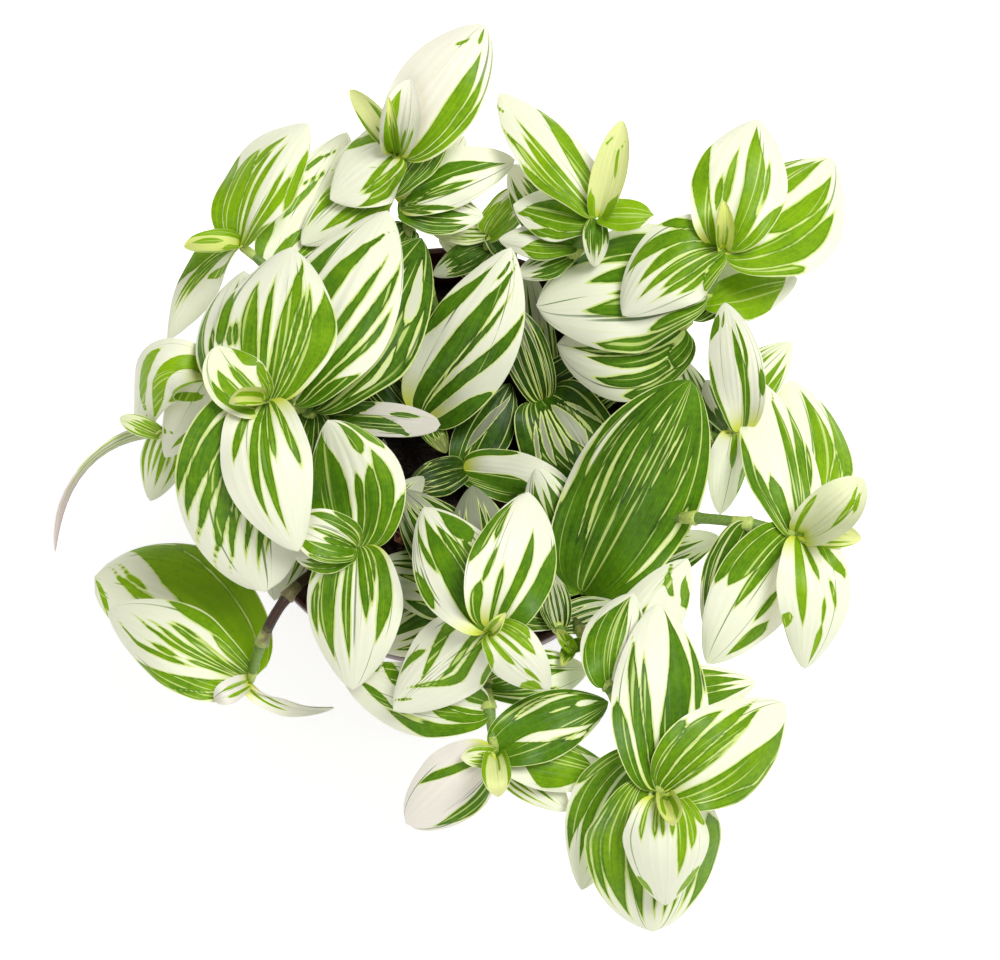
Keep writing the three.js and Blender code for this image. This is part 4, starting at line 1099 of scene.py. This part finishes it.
print("stripes drawn on the first leaf:", len(drawn_stripes(leaves[0])))

# %% Stripe field
# How far below zero the field is on a leaf without stripes, and how wide the line between two is
ground = 0.6
line_between = 0.03
# A stripe comes out a little wider than it is written, less a seam on each side
widening, border, seam_share = 1.25, 0.045, 0.03
# The shares of its length up to which a stripe widens and from which it narrows
widest_from, widest_to = 0.35, 0.55
white_margin = 0.025


def stripe_field(stripes, across, along, from_foot):
    """How far each point lies inside the nearest stripe, and below zero outside them all.

    Where two stripes would run together, a fine line is left between them.
    """
    nearest = np.full(across.shape, -ground)
    second = nearest
    for half, *path in stripes:
        start, end = path[1], path[-1]
        middle = np.interp(along, path[1::2], path[0::2])
        full_from = start + widest_from * (end - start)
        full_to = start + widest_to * (end - start)
        grown = 1 - np.clip((full_from - along) / (full_from - start), 0, 1) ** 1.5
        if from_foot and start <= 0.2:
            grown = 1.0
        faded = 1 - np.clip((along - full_to) / (end + 0.02 - full_to), 0, 1) ** 2
        width = (widening * half + border) * grown * faded - seam_share
        inside = width - np.abs(across - middle)
        second = np.maximum(second, np.minimum(nearest, inside))
        nearest = np.maximum(nearest, inside)
    return np.minimum(nearest, 0.5 * (nearest - second - line_between))


def green_field(leaf, across, along):
    """The field of green tissue, with a fine white margin along the blade's edge."""
    short = leaf.name.removeprefix("stem_")
    rows = set_stripes.get(short, {}).get(leaf.number)
    white_lines = (short, leaf.number) in white_on_green
    field = stripe_field(rows or drawn_stripes(leaf), across, along, not white_lines)
    if white_lines:
        field = 0.01 - field
    return np.minimum(field, 1 - np.abs(across) - white_margin)


first_field = green_field(leaves[0], np.linspace(-0.9, 0.9, 61), np.full(61, 0.4))
print("green share across the first leaf:", round(float(np.mean(first_field > 0)), 2))

# %% [markdown]
# ## A blade in bmesh
# A blade could be drawn as a flat outline, extruded and then bent. Starting from a grid is better here: its
# columns run along the veins and its rows across them, so every quad follows the leaf, and the stripes can
# ride on the columns. The grid's corners are moved to the formula's points, the tip's row is merged to one
# point, and the solidify operator gives the sheet a second face. Where a young leaf is rolled tightly that
# operator would overshoot, so each corner of the second face is set by the formula too.
# Small waves along the edge and a fine groove over the midrib keep the light moving as on a real leaf.

# %% The fine form of a blade
full_roll = 1.9
wave_height, edge_waves = 0.028, 1.7
rib_height = 0.07
groove_depth, groove_width = 0.35, 0.05
# Heights and distances from the axis, in mm, over which the painted shade on the leaves fades out
shade_heights = (96, 128)
shade_radii = (20, 60)


def fine_leaf(leaf, across, along):
    """The leaf with its roll, gutter, waves, ribs and groove, bent clear of its neighbours."""
    spine, side, normal = leaf_frame(leaf, along)
    half = half_width(leaf, along)
    turn = full_roll * leaf.curl + 0.001
    reach = np.sin(turn * across) / turn
    rolled = (1 - np.cos(turn * across)) / turn
    crease = np.sqrt(across ** 2 + 0.006) - 0.077
    gutter = gutter_depth * (1 - smooth(along, 0, gutter_end)) * crease
    height = half * (gutter + rolled - dome(leaf, along) * across ** 2)
    phase = 2 * math.pi * leaf.own
    edge = np.abs(across) ** 3 * np.sin(math.pi * along)
    waves = np.sin(2 * math.pi * (edge_waves * along + leaf.own) + 2.4 * across)
    ribs = rib_height * np.sin(9 * math.pi * across + phase) * np.sin(math.pi * along) * (1 - across ** 2)
    groove = -groove_depth * np.exp(-(across / groove_width) ** 2) * (1 - along)
    height = height + wave_height * leaf.width * edge * waves + ribs + groove
    shift = bend_shares(across, along) @ leaf.bend
    points = spine + side * (reach * half)[..., None] + normal * height[..., None]
    return points + give * shift[..., None], normal


def shade_share(points):
    """Painted shade: 1 deep in the middle of the plant, where leaves lie in shade, and 0 at its rim and
    top.
    """
    out = np.hypot(points[..., 0], points[..., 1])
    return (1 - smooth(points[..., 2], *shade_heights)) * (1 - smooth(out, *shade_radii))


blade_middle = fine_leaf(leaves[0], np.zeros(1), np.full(1, 0.5))[0]
print("shade in the middle of the first blade:", round(float(shade_share(blade_middle)[0]), 2))

# %% Blade maker
# For leaves up to a width in millimetres: the columns across the blade and the rows along it
blade_grids = [(9, 20, 16), (14, 36, 22), (20, 52, 28), (99, 72, 34)]
UPPER, UNDER, CANE, SHEATH = range(4)


def new_shape():
    """An empty bmesh with the layers that the plant's materials read."""
    shape = bmesh.new()
    shape.verts.layers.float.new("stripe")
    shape.verts.layers.float_color.new("look")
    shape.loops.layers.uv.new("leaf")
    return shape


def join(whole, part):
    """Moves one bmesh into another, with all its layers."""
    mesh = bpy.data.meshes.new("part")
    part.to_mesh(mesh)
    part.free()
    whole.from_mesh(mesh)
    bpy.data.meshes.remove(mesh)


def blade(leaf):
    """A blade as a bmesh, with its stripes and its looks on the vertices."""
    shape = new_shape()
    stripe_layer = shape.verts.layers.float["stripe"]
    look_layer = shape.verts.layers.float_color["look"]
    number_layer = shape.verts.layers.int.new("number")
    columns, rows = next(grid[1:] for grid in blade_grids if leaf.width < grid[0])
    sheet = bmesh.ops.create_grid(shape, x_segments=columns, y_segments=rows, size=0.5,
                                  calc_uvs=True)["verts"]
    flat = np.array([corner.co for corner in sheet])
    across = -2 * flat[:, 0]
    step = flat[:, 1] + 0.5
    along = np.clip(step - 0.07 * np.sin(2 * math.pi * step), 0, 1)
    points, normals = fine_leaf(leaf, across, along)
    upper = points + normals * 0.5 * blade_thickness
    lower = points - normals * 0.5 * blade_thickness
    field = green_field(leaf, across, along)
    # painted shade: the tone is lowered by up to 0.6 of itself deep in the plant, darkening green and white
    light = 1 - 0.6 * shade_share(points)
    for number, corner in enumerate(sheet):
        corner.co = Vector(upper[number]) * MM
        corner[number_layer] = number
        corner[stripe_layer] = field[number]
        corner[look_layer] = (leaf.tone * light[number], leaf.pink, leaf.own, leaf.youth)
    tip = [corner for corner, value in zip(sheet, step) if value > 0.999]
    bmesh.ops.remove_doubles(shape, verts=tip, dist=1e-6)
    shape.normal_update()
    top = set(shape.faces)
    below = bmesh.ops.solidify(shape, geom=shape.faces[:], thickness=blade_thickness * MM)["geom"]
    under = {face for face in below if isinstance(face, bmesh.types.BMFace)}
    for face in under:
        face.material_index = UNDER
        for corner in face.verts:
            corner.co = Vector(lower[corner[number_layer]]) * MM
    for line in shape.edges:
        sides = [face in top or face in under for face in line.link_faces]
        line.smooth = all(sides) or not any(sides)
    return shape


trial = blade(leaves[0])
print("faces in one blade:", len(trial.faces))
trial.free()

# %% [markdown]
# ## Canes and sheaths in bmesh
# A cane is a ring of vertices that is extruded along the stem's line. Each new ring is moved, turned and
# scaled into place with one matrix, and the direction is carried from ring to ring, so the tube doesn't
# twist. The rings swell where a leaf is attached. A sheath is a short second tube over each joint.

# %% Cane maker
cane_sides = 14


def tube(sprig, points, radii, tones, material, own):
    """A closed tube through the points, in millimetres, with a radius and a tone for each."""
    look_layer = sprig.verts.layers.float_color["look"]
    points = [Vector(point) for point in points]
    ways = [(after - before).normalized() for before, after in zip(points[:-1], points[1:])]
    ways = [ways[0]] + [(a + b).normalized() for a, b in zip(ways[:-1], ways[1:])] + [ways[-1]]
    turn = Vector((0, 0, 1)).rotation_difference(ways[0])
    places = []
    for index, (point, radius, way) in enumerate(zip(points, radii, ways)):
        if index:
            turn = ways[index - 1].rotation_difference(way) @ turn
        places.append(Matrix.LocRotScale(point * MM, turn, Vector((radius, radius, radius)) * MM))
    ring = bmesh.ops.create_circle(sprig, segments=cane_sides, radius=1.0, cap_ends=False)["verts"]
    edges = list(dict.fromkeys(edge for corner in ring for edge in corner.link_edges))
    first = edges
    bmesh.ops.transform(sprig, matrix=places[0], verts=ring)
    made = []
    for corner in ring:
        corner[look_layer] = (tones[0], 0.0, own, 1.0)
    for before, after, tone in zip(places[:-1], places[1:], tones[1:]):
        grown = bmesh.ops.extrude_edge_only(sprig, edges=edges)["geom"]
        corners = [item for item in grown if isinstance(item, bmesh.types.BMVert)]
        edges = [item for item in grown if isinstance(item, bmesh.types.BMEdge)]
        made += [item for item in grown if isinstance(item, bmesh.types.BMFace)]
        bmesh.ops.transform(sprig, matrix=after @ before.inverted(), verts=corners)
        for corner in corners:
            corner[look_layer] = (tone, 0.0, own, 1.0)
    for loop in (first, edges):
        made += bmesh.ops.edgeloop_fill(sprig, edges=loop)["faces"]
    for face in made:
        face.material_index = material
    bmesh.ops.recalc_face_normals(sprig, faces=made)


print("sides of a cane:", cane_sides)

# %% Cane line and thickness
cane_radius = 1.45
ring_step = 1.5
foot_drops = ring_step * np.arange(5, 0, -1)
joint_swell, joint_reach = 0.35, 1.5
bare_joint_step = 16
shared_swell, close_joints = 0.4, 4
tip_share, full_from_tip, tip_end = 0.72, 14, 0.35
ease_rounds = 8


def cane_path(stem):
    """Points from inside the soil to the growing tip, and how far below the tip each one lies.

    The bend at the soil is eased.
    """
    line = stem_line(stem)
    length = line_length(line)[-1]
    below = np.arange(length, -0.01, -ring_step)
    curve = np.array([on_line(line, along_at(line, value)) for value in below])
    foot = [curve[0] - np.array((0, 0, drop)) for drop in foot_drops]
    path = np.vstack([foot, curve])
    for _ in range(ease_rounds):
        path[1:-1] = 0.25 * path[:-2] + 0.5 * path[1:-1] + 0.25 * path[2:]
    return path, np.concatenate([length + foot_drops, below])


def cane_joints(stem, length):
    """The joints of the leaves, and the bare ones further down, as distances below the tip."""
    joints = sorted({row[0] for row in stem["leaves"]})
    while joints[-1] + bare_joint_step < length:
        joints.append(joints[-1] + bare_joint_step)
    return joints


def cane_radii(below, joints):
    """The cane swells at its joints, less where they crowd, and is thinner towards its tip."""
    radii = np.full(len(below), cane_radius)
    for joint in joints:
        close = sum(abs(other - joint) < close_joints for other in joints)
        swell = joint_swell / (1 + shared_swell * close)
        radii += swell * np.exp(-((below - joint) / joint_reach) ** 2)
    radii *= tip_share + (1 - tip_share) * smooth(below, 0, full_from_tip)
    radii[-1] *= tip_end
    return radii


print("rings on the first cane:", len(cane_path(stems["stem_left"])[0]))

# %% Cane with its sheaths
young_length = 22
young_length_hanging = 8
# The rings of a sheath, in millimetres below its joint, and their sizes as shares of the cane's
sheath_marks = np.array((5.5, 5.0, 2.5, 0.3, -0.4))
tip_sheath_marks = np.array((6.0, 5.5, 3.0, 1.2, 0.6))
sheath_sizes = np.array((0.9, 1.08, 1.16, 1.32, 0.9))
sheath_gap = 5
bare_foot = 12


def add_cane(sprig, name, stem):
    """The cane with a sheath at each joint. It returns how many sheaths there are."""
    path, below = cane_path(stem)
    own = random.Random(f"cane {name}").random()
    joints = cane_joints(stem, below[0])
    radii = cane_radii(below, joints)
    green_until = young_length_hanging if name == "stem_hanging" else young_length
    tones = 1 - smooth(below, green_until, 4 * green_until)
    tube(sprig, path, radii, tones, CANE, own)
    placed = []
    for joint in joints:
        crowded = any(abs(joint - other) < sheath_gap for other in placed)
        if crowded or joint > below[0] - bare_foot:
            continue
        placed.append(joint)
        marks = tip_sheath_marks if joint < 1 else np.clip(joint + sheath_marks, 0, None)
        wrap = [np.interp(marks, below[::-1], path[::-1, axis]) for axis in range(3)]
        size = sheath_sizes * np.interp(marks, below[::-1], radii[::-1])
        tone = np.interp(marks, below[::-1], tones[::-1])
        tube(sprig, np.transpose(wrap), size, tone, SHEATH, own)
    return len(placed)


trial = new_shape()
print("sheaths on the first cane:", add_cane(trial, "stem_left", stems["stem_left"]))
trial.free()

# %% [markdown]
# ## Put the shoots together
# Every shoot replaces one solid of the frame and stays in its place. Its blades, cane and sheaths are one
# object with four materials: upper skin, underside, cane and sheath.

# %% Make the shoots
def finish_piece(name, mesh_maker, materials, node):
    """Turns the bmesh into an object that stands in for one solid of the frame."""
    mesh = bpy.data.meshes.new(name)
    mesh_maker.to_mesh(mesh)
    mesh_maker.free()
    for material in materials:
        mesh.materials.append(material)
    piece = bpy.data.objects.new(name, mesh)
    scene.collection.objects.link(piece)
    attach(piece, "root")
    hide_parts(node)
    return piece


def smooth_faces(mesh_maker):
    for face in mesh_maker.faces:
        face.smooth = True


plant_skins = [leaf_upper, leaf_under, cane_skin, sheath_skin]
triangles = 0
for name, stem in stems.items():
    sprig = new_shape()
    add_cane(sprig, name, stem)
    for leaf in leaves:
        if leaf.name == name:
            join(sprig, blade(leaf))
    smooth_faces(sprig)
    triangles += sum(len(face.verts) - 2 for face in sprig.faces)
    finish_piece(name.replace("stem_", "shoot_"), sprig, plant_skins, name)
print("triangles in the shoots:", triangles)

# %% [markdown]
# ## The pot
# The pot is a moulded polypropylene nursery pot: a thin tapered wall, a wider band under the rim that pots
# hang on when they are stacked, and a floor with drain holes. Its section is drawn once as a row of points
# and spun round the axis. The holes are then cut with a boolean, because a spin can't leave them out.

# %% Spin the pot
pot_height, rim_radius, foot_radius = 100.0, 60.0, 43.0
wall, floor_thickness, lip_height, lip_step = 1.8, 2.4, 10.0, 2.0
drain_hole_radius, drain_hole_circle, drain_holes = 3.5, 29.0, 6
pot_steps = 128


def body_radius(height):
    return foot_radius + (rim_radius - lip_step - foot_radius) * height / pot_height


def spun(section, steps):
    """A closed solid of revolution from points of radius and height in millimetres."""
    shape = bmesh.new()
    corners = [shape.verts.new((radius * MM, 0, height * MM)) for radius, height in section]
    edges = [shape.edges.new(pair) for pair in zip(corners[:-1], corners[1:])]
    bmesh.ops.spin(shape, geom=corners + edges, cent=(0, 0, 0), axis=(0, 0, 1), angle=2 * math.pi,
                   steps=steps, use_merge=True)
    bmesh.ops.remove_doubles(shape, verts=shape.verts, dist=1e-7)
    bmesh.ops.dissolve_degenerate(shape, edges=shape.edges, dist=1e-8)
    bmesh.ops.recalc_face_normals(shape, faces=shape.faces)
    return shape


# Radius and height of each corner: along the foot, up the outside, over the lip and down the inside
shoulder = pot_height - lip_height
pot_section = [
    (0, 0.4), (foot_radius - 5, 0.4), (foot_radius - 4, 0), (foot_radius - 0.6, 0), (foot_radius, 0.6),
    (body_radius(shoulder) - 0.1, shoulder - 0.6), (body_radius(shoulder) + 0.3, shoulder - 0.1),
    (rim_radius - 0.9, shoulder), (rim_radius - 0.4, shoulder + 0.4), (rim_radius - 0.15, shoulder + 3),
    (rim_radius, pot_height - 0.9), (rim_radius - 0.25, pot_height - 0.3), (rim_radius - 0.75, pot_height),
    (rim_radius - wall + 0.5, pot_height), (rim_radius - wall, pot_height - 0.4),
    (rim_radius - wall - 0.3, shoulder + wall), (rim_radius - wall - 0.9, shoulder + 0.9),
    (body_radius(shoulder) - wall, shoulder), (body_radius(6) - wall, 6),
    (body_radius(0) - wall - 0.8, floor_thickness + 0.5), (body_radius(0) - wall - 2, floor_thickness),
    (0, floor_thickness),
]
pot_shape = spun(pot_section, pot_steps)
smooth_faces(pot_shape)
print("pot faces before the holes:", len(pot_shape.faces))

# %% Cut the drain holes
sharp_angle = math.radians(40)


def cut_holes(shape):
    """The shape as a mesh with the drain holes cut through its floor."""
    body_mesh = bpy.data.meshes.new("uncut pot")
    shape.to_mesh(body_mesh)
    shape.free()
    uncut = bpy.data.objects.new("uncut_pot", body_mesh)
    drills = bmesh.new()
    for hole in range(drain_holes):
        angle = (hole + 0.5) * 2 * math.pi / drain_holes
        centre = Vector((math.cos(angle), math.sin(angle), 0)) * drain_hole_circle * MM
        bmesh.ops.create_cone(drills, cap_ends=True, segments=32, radius1=drain_hole_radius * MM,
                              radius2=drain_hole_radius * MM, depth=4 * floor_thickness * MM,
                              matrix=Matrix.Translation(centre))
    drill_mesh = bpy.data.meshes.new("drills")
    drills.to_mesh(drill_mesh)
    drills.free()
    drill = bpy.data.objects.new("drills", drill_mesh)
    for item in (uncut, drill):
        scene.collection.objects.link(item)
    cutter = uncut.modifiers.new("holes", "BOOLEAN")
    cutter.operation = "DIFFERENCE"
    cutter.solver = "EXACT"
    cutter.object = drill
    bpy.context.view_layer.update()
    cut = bmesh.new()
    cut.from_object(uncut, bpy.context.evaluated_depsgraph_get())
    for item in (uncut, drill):
        bpy.data.objects.remove(item)
    return cut


pot_cut = cut_holes(pot_shape)
for line in pot_cut.edges:
    if len(line.link_faces) == 2 and line.calc_face_angle() > sharp_angle:
        line.smooth = False
print("pot faces with the holes:", len(pot_cut.faces))

# %% [markdown]
# ## Pot plastic
# The pot is injection-moulded polypropylene, dyed a dark maroon. The mould leaves a fine even grain, and
# the surface is satin: it shows soft highlights but no sharp reflections. Handling and watering leave faint
# paler scuffs and a trace of lime towards the foot.

# %% Pot material
mould_grain_mm = 0.385
scuff_mm = 18.2
lime_height = 30 * MM

# Polypropylene, injection-moulded: satin, with a fine grain that softens the highlights
pot_plastic = new_material("moulded polypropylene")
tree = pot_plastic.node_tree
grain = body_noise(tree, mould_grain_mm, 2.0)
scuffs = body_noise(tree, scuff_mm, 5.0)
body = add(tree, "ShaderNodeTexCoord")
height = add(tree, "ShaderNodeSeparateXYZ", {0: body.outputs["Object"]})
strength = {0: height.outputs[2], 1: lime_height, 2: 0.0, 3: 0.14, 4: 0.64}
strength = add(tree, "ShaderNodeMapRange", strength, **SOFT_STEP).outputs[0]
marks = add(tree, "ShaderNodeMapRange", {0: scuffs, 1: 0.56, 2: 0.75}, **SOFT_STEP).outputs[0]
marks = add(tree, "ShaderNodeMath", {0: marks, 1: strength}, operation="MULTIPLY").outputs[0]
maroons = {0: grain, 6: hex_colour("#350F0D"), 7: hex_colour("#46150F")}
maroon = add(tree, "ShaderNodeMix", maroons, **OF_COLOURS).outputs[2]
marked = {0: marks, 6: maroon, 7: hex_colour("#8A7A70")}
plastic_colour = add(tree, "ShaderNodeMix", marked, **OF_COLOURS).outputs[2]
plastic_bump = add(tree, "ShaderNodeBump", {"Height": grain, "Strength": 0.25, "Distance": 0.0001})
rough = add(tree, "ShaderNodeMath", {0: marks, 1: 0.3, 2: 0.4}, operation="MULTIPLY_ADD").outputs[0]
plastic = add(tree, "ShaderNodeBsdfPrincipled", {
    "Base Color": plastic_colour, "Roughness": rough, "IOR": 1.49, "Normal": plastic_bump.outputs[0],
})
add(tree, "ShaderNodeOutputMaterial", {"Surface": plastic.outputs[0]})
pot = finish_piece("nursery_pot", pot_cut, [pot_plastic], "pot")
print("faces of the pot, made of", pot_plastic.name + ":", len(pot.data.polygons))

# %% [markdown]
# ## The soil
# Potting soil is milled peat and bark: nearly black when moist, made of crumbs from dust up to a few
# millimetres. Its body is a spun solid like the pot. The top is moved up and down with noise, and a few
# hundred loose crumbs, chips of bark and dry brown scraps of old leaf lie on it.

# %% Soil body
crumb_clearance = 0.35
lump_size, lump_height = 9, 1.5
soil_rings, soil_steps = 34, 110
edge_drop = 1.2
swell_height, swell_turn = 0.5, 0.16


def soil_bump(point):
    rough_height = noise.fractal(point / (lump_size * MM), 1.0, 2.0, 5, noise_basis="PERLIN_ORIGINAL")
    return lump_height * MM * rough_height


# Radius and height of each corner: along the pot's floor, up its wall and in over the rolling top
inner = body_radius(soil_top - 1) - wall - crumb_clearance
soil_section = [(0, floor_thickness + crumb_clearance),
                (body_radius(0) - wall - crumb_clearance - 1.4, floor_thickness + crumb_clearance),
                (body_radius(30) - wall - crumb_clearance, 30.0), (inner, soil_top - edge_drop)]
for ring in range(1, soil_rings + 1):
    radius = inner * (1 - ring / soil_rings)
    soil_section.append((radius, soil_top + swell_height * math.sin(swell_turn * radius)))
soil_shape = spun(soil_section, soil_steps)
for corner in soil_shape.verts:
    reach = math.hypot(corner.co.x, corner.co.y)
    if corner.co.z > (soil_top - 2) * MM and reach < (inner - 0.5) * MM:
        corner.co.z += soil_bump(corner.co)
smooth_faces(soil_shape)
print("soil faces:", len(soil_shape.faces))

# %% Crumbs and bark
crumb_count = 420
smallest_crumb, crumb_spread = 0.5, 1.6
crumb_roughness, knob_size = 0.35, 0.9
stem_clearance = 3.2
rim_clearance = 3.5
scatter = random.Random(21)
stem_feet = [stem["root"] for stem in stems.values()]


def free_spot(clear):
    """A place on the soil that is so far from every stem."""
    while True:
        radius = (inner - rim_clearance) * math.sqrt(scatter.random())
        angle = scatter.uniform(0, 2 * math.pi)
        x, y = radius * math.cos(angle), radius * math.sin(angle)
        if all(math.hypot(x - fx, y - fy) > clear for fx, fy in stem_feet):
            return x, y


def crumb(shape, x, y, size):
    """A lumpy stretched ball, turned at random and sunk in to a third of its height."""
    height = soil_top + 0.3 * size
    turn = Quaternion((scatter.gauss(0, 1), scatter.gauss(0, 1), scatter.gauss(0, 1), 1)).normalized()
    stretch = Vector((1, scatter.uniform(0.6, 1), scatter.uniform(0.5, 0.9))) * size * MM
    place = Matrix.LocRotScale(Vector((x, y, height)) * MM, turn, stretch)
    corners = bmesh.ops.create_icosphere(shape, subdivisions=2, radius=1.0, matrix=place)["verts"]
    centre = Vector((x, y, height)) * MM
    for corner in corners:
        knob = crumb_roughness * noise.noise(corner.co / (knob_size * MM))
        corner.co = centre + (corner.co - centre) * (1 + knob)
    return corners


for _ in range(crumb_count):
    size = smallest_crumb + crumb_spread * scatter.random() ** 2.5
    x, y = free_spot(stem_clearance + size)
    for corner in crumb(soil_shape, x, y, size):
        for face in corner.link_faces:
            face.smooth = True
print("crumbs:", crumb_count)

# %% Dry scraps
scrap_count, scrap_clearance = 22, 4.5
scrap_thickness, scrap_lift = 0.3, 1.9
scrap_spots = [(1.5, -1.3), (2.9, -5.0), (4.5, -2.5), (0.5, -4.5), (25.7, 24.0)]
scrap_spots += [free_spot(scrap_clearance) for _ in range(scrap_count)]
for x, y in scrap_spots:
    length, breadth = scatter.uniform(3.5, 7.5), scatter.uniform(1.0, 2.4)
    scrap = bmesh.ops.create_grid(soil_shape, x_segments=8, y_segments=3, size=0.5)["verts"]
    faces = list(dict.fromkeys(face for corner in scrap for face in corner.link_faces))
    curl = scatter.uniform(0.4, 1.3)
    turn = Matrix.Rotation(scatter.uniform(0, 2 * math.pi), 4, "Z") @ Matrix.Rotation(
        scatter.uniform(-0.35, 0.35), 4, "Y")
    for corner in scrap:
        bow = corner.co.x
        corner.co = Vector((
            bow * length, corner.co.y * breadth * (1.15 - 2 * abs(bow)),
            curl * (4 * bow * bow + 6 * corner.co.y ** 2),
        )) * MM
    lift = Matrix.Translation(Vector((x, y, soil_top + scrap_lift)) * MM)
    bmesh.ops.transform(soil_shape, matrix=lift @ turn, verts=scrap)
    soil_shape.normal_update()
    below = bmesh.ops.solidify(soil_shape, geom=faces, thickness=scrap_thickness * MM)["geom"]
    sides = {face for corner in scrap for face in corner.link_faces}
    for face in sides.union(faces, (item for item in below if isinstance(item, bmesh.types.BMFace))):
        face.material_index = 1
print("dry scraps:", len(scrap_spots))

# %% Soil material
peat_grain_mm = 1.11
bark_chip_mm = 2.38

# Milled peat and bark, moist: nearly black, quite dull, with single paler chips
potting_soil = new_material("moist potting soil")
tree = potting_soil.node_tree
crumbs = body_noise(tree, peat_grain_mm, 6.0)
body = add(tree, "ShaderNodeTexCoord")
lumps = add(tree, "ShaderNodeTexVoronoi", {
    "Vector": body.outputs["Object"], "Scale": scale_for(bark_chip_mm),
})
dry = add(tree, "ShaderNodeMapRange", {0: crumbs, 1: 0.4, 2: 0.7}, **SOFT_STEP).outputs[0]
peats = {0: dry, 6: hex_colour("#0D0A08"), 7: hex_colour("#33241A")}
peat = add(tree, "ShaderNodeMix", peats, **OF_COLOURS).outputs[2]
chips = {0: lumps.outputs["Color"], 1: 0.82, 2: 0.9, 4: 0.6}
chips = add(tree, "ShaderNodeMapRange", chips, **SOFT_STEP).outputs[0]
barks = {0: chips, 6: peat, 7: hex_colour("#5A3B25")}
peat = add(tree, "ShaderNodeMix", barks, **OF_COLOURS).outputs[2]
soil_bumps = add(tree, "ShaderNodeBump", {"Height": crumbs, "Strength": 0.8, "Distance": 0.0008})
soil_shader = add(tree, "ShaderNodeBsdfPrincipled", {
    "Base Color": peat, "Roughness": 0.95, "Specular IOR Level": 0.25, "Normal": soil_bumps.outputs[0],
})
add(tree, "ShaderNodeOutputMaterial", {"Surface": soil_shader.outputs[0]})

print("size of the peat's grains and of the bark's chips, mm:", peat_grain_mm, bark_chip_mm)

# %% Material of the scraps
fleck_mm = 1.25

# Dry leaf scraps and bark, weathered: brittle, reddish brown, dull
dry_scraps = new_material("dry leaf scraps")
tree = dry_scraps.node_tree
flecks = body_noise(tree, fleck_mm, 4.0)
faded = add(tree, "ShaderNodeMapRange", {0: flecks, 1: 0.35, 2: 0.65}, **SOFT_STEP).outputs[0]
browns = {0: faded, 6: hex_colour("#3A1A12"), 7: hex_colour("#8C5A3C")}
brown = add(tree, "ShaderNodeMix", browns, **OF_COLOURS).outputs[2]
scrap_bump = add(tree, "ShaderNodeBump", {"Height": flecks, "Strength": 0.5, "Distance": 0.0004})
scrap_shader = add(tree, "ShaderNodeBsdfPrincipled", {
    "Base Color": brown, "Roughness": 0.75, "Normal": scrap_bump.outputs[0],
})
add(tree, "ShaderNodeOutputMaterial", {"Surface": scrap_shader.outputs[0]})
soil = finish_piece("potting_soil", soil_shape, [potting_soil, dry_scraps], "soil")
print("soil triangles:", sum(len(face.vertices) - 2 for face in soil.data.polygons))

# %% [markdown]
# ## The last check
# The bounds of the dressed plant are set against those of its solids, axis by axis, in millimetres.

# %% Compare the sizes
dressed_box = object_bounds()
for side, axis in enumerate("XYZ"):
    low = (dressed_box[0][side] - solid_box[0][side]) / MM
    high = (dressed_box[1][side] - solid_box[1][side]) / MM
    print(f"{axis}: low end {low:+.2f} mm, high end {high:+.2f} mm from the solids")
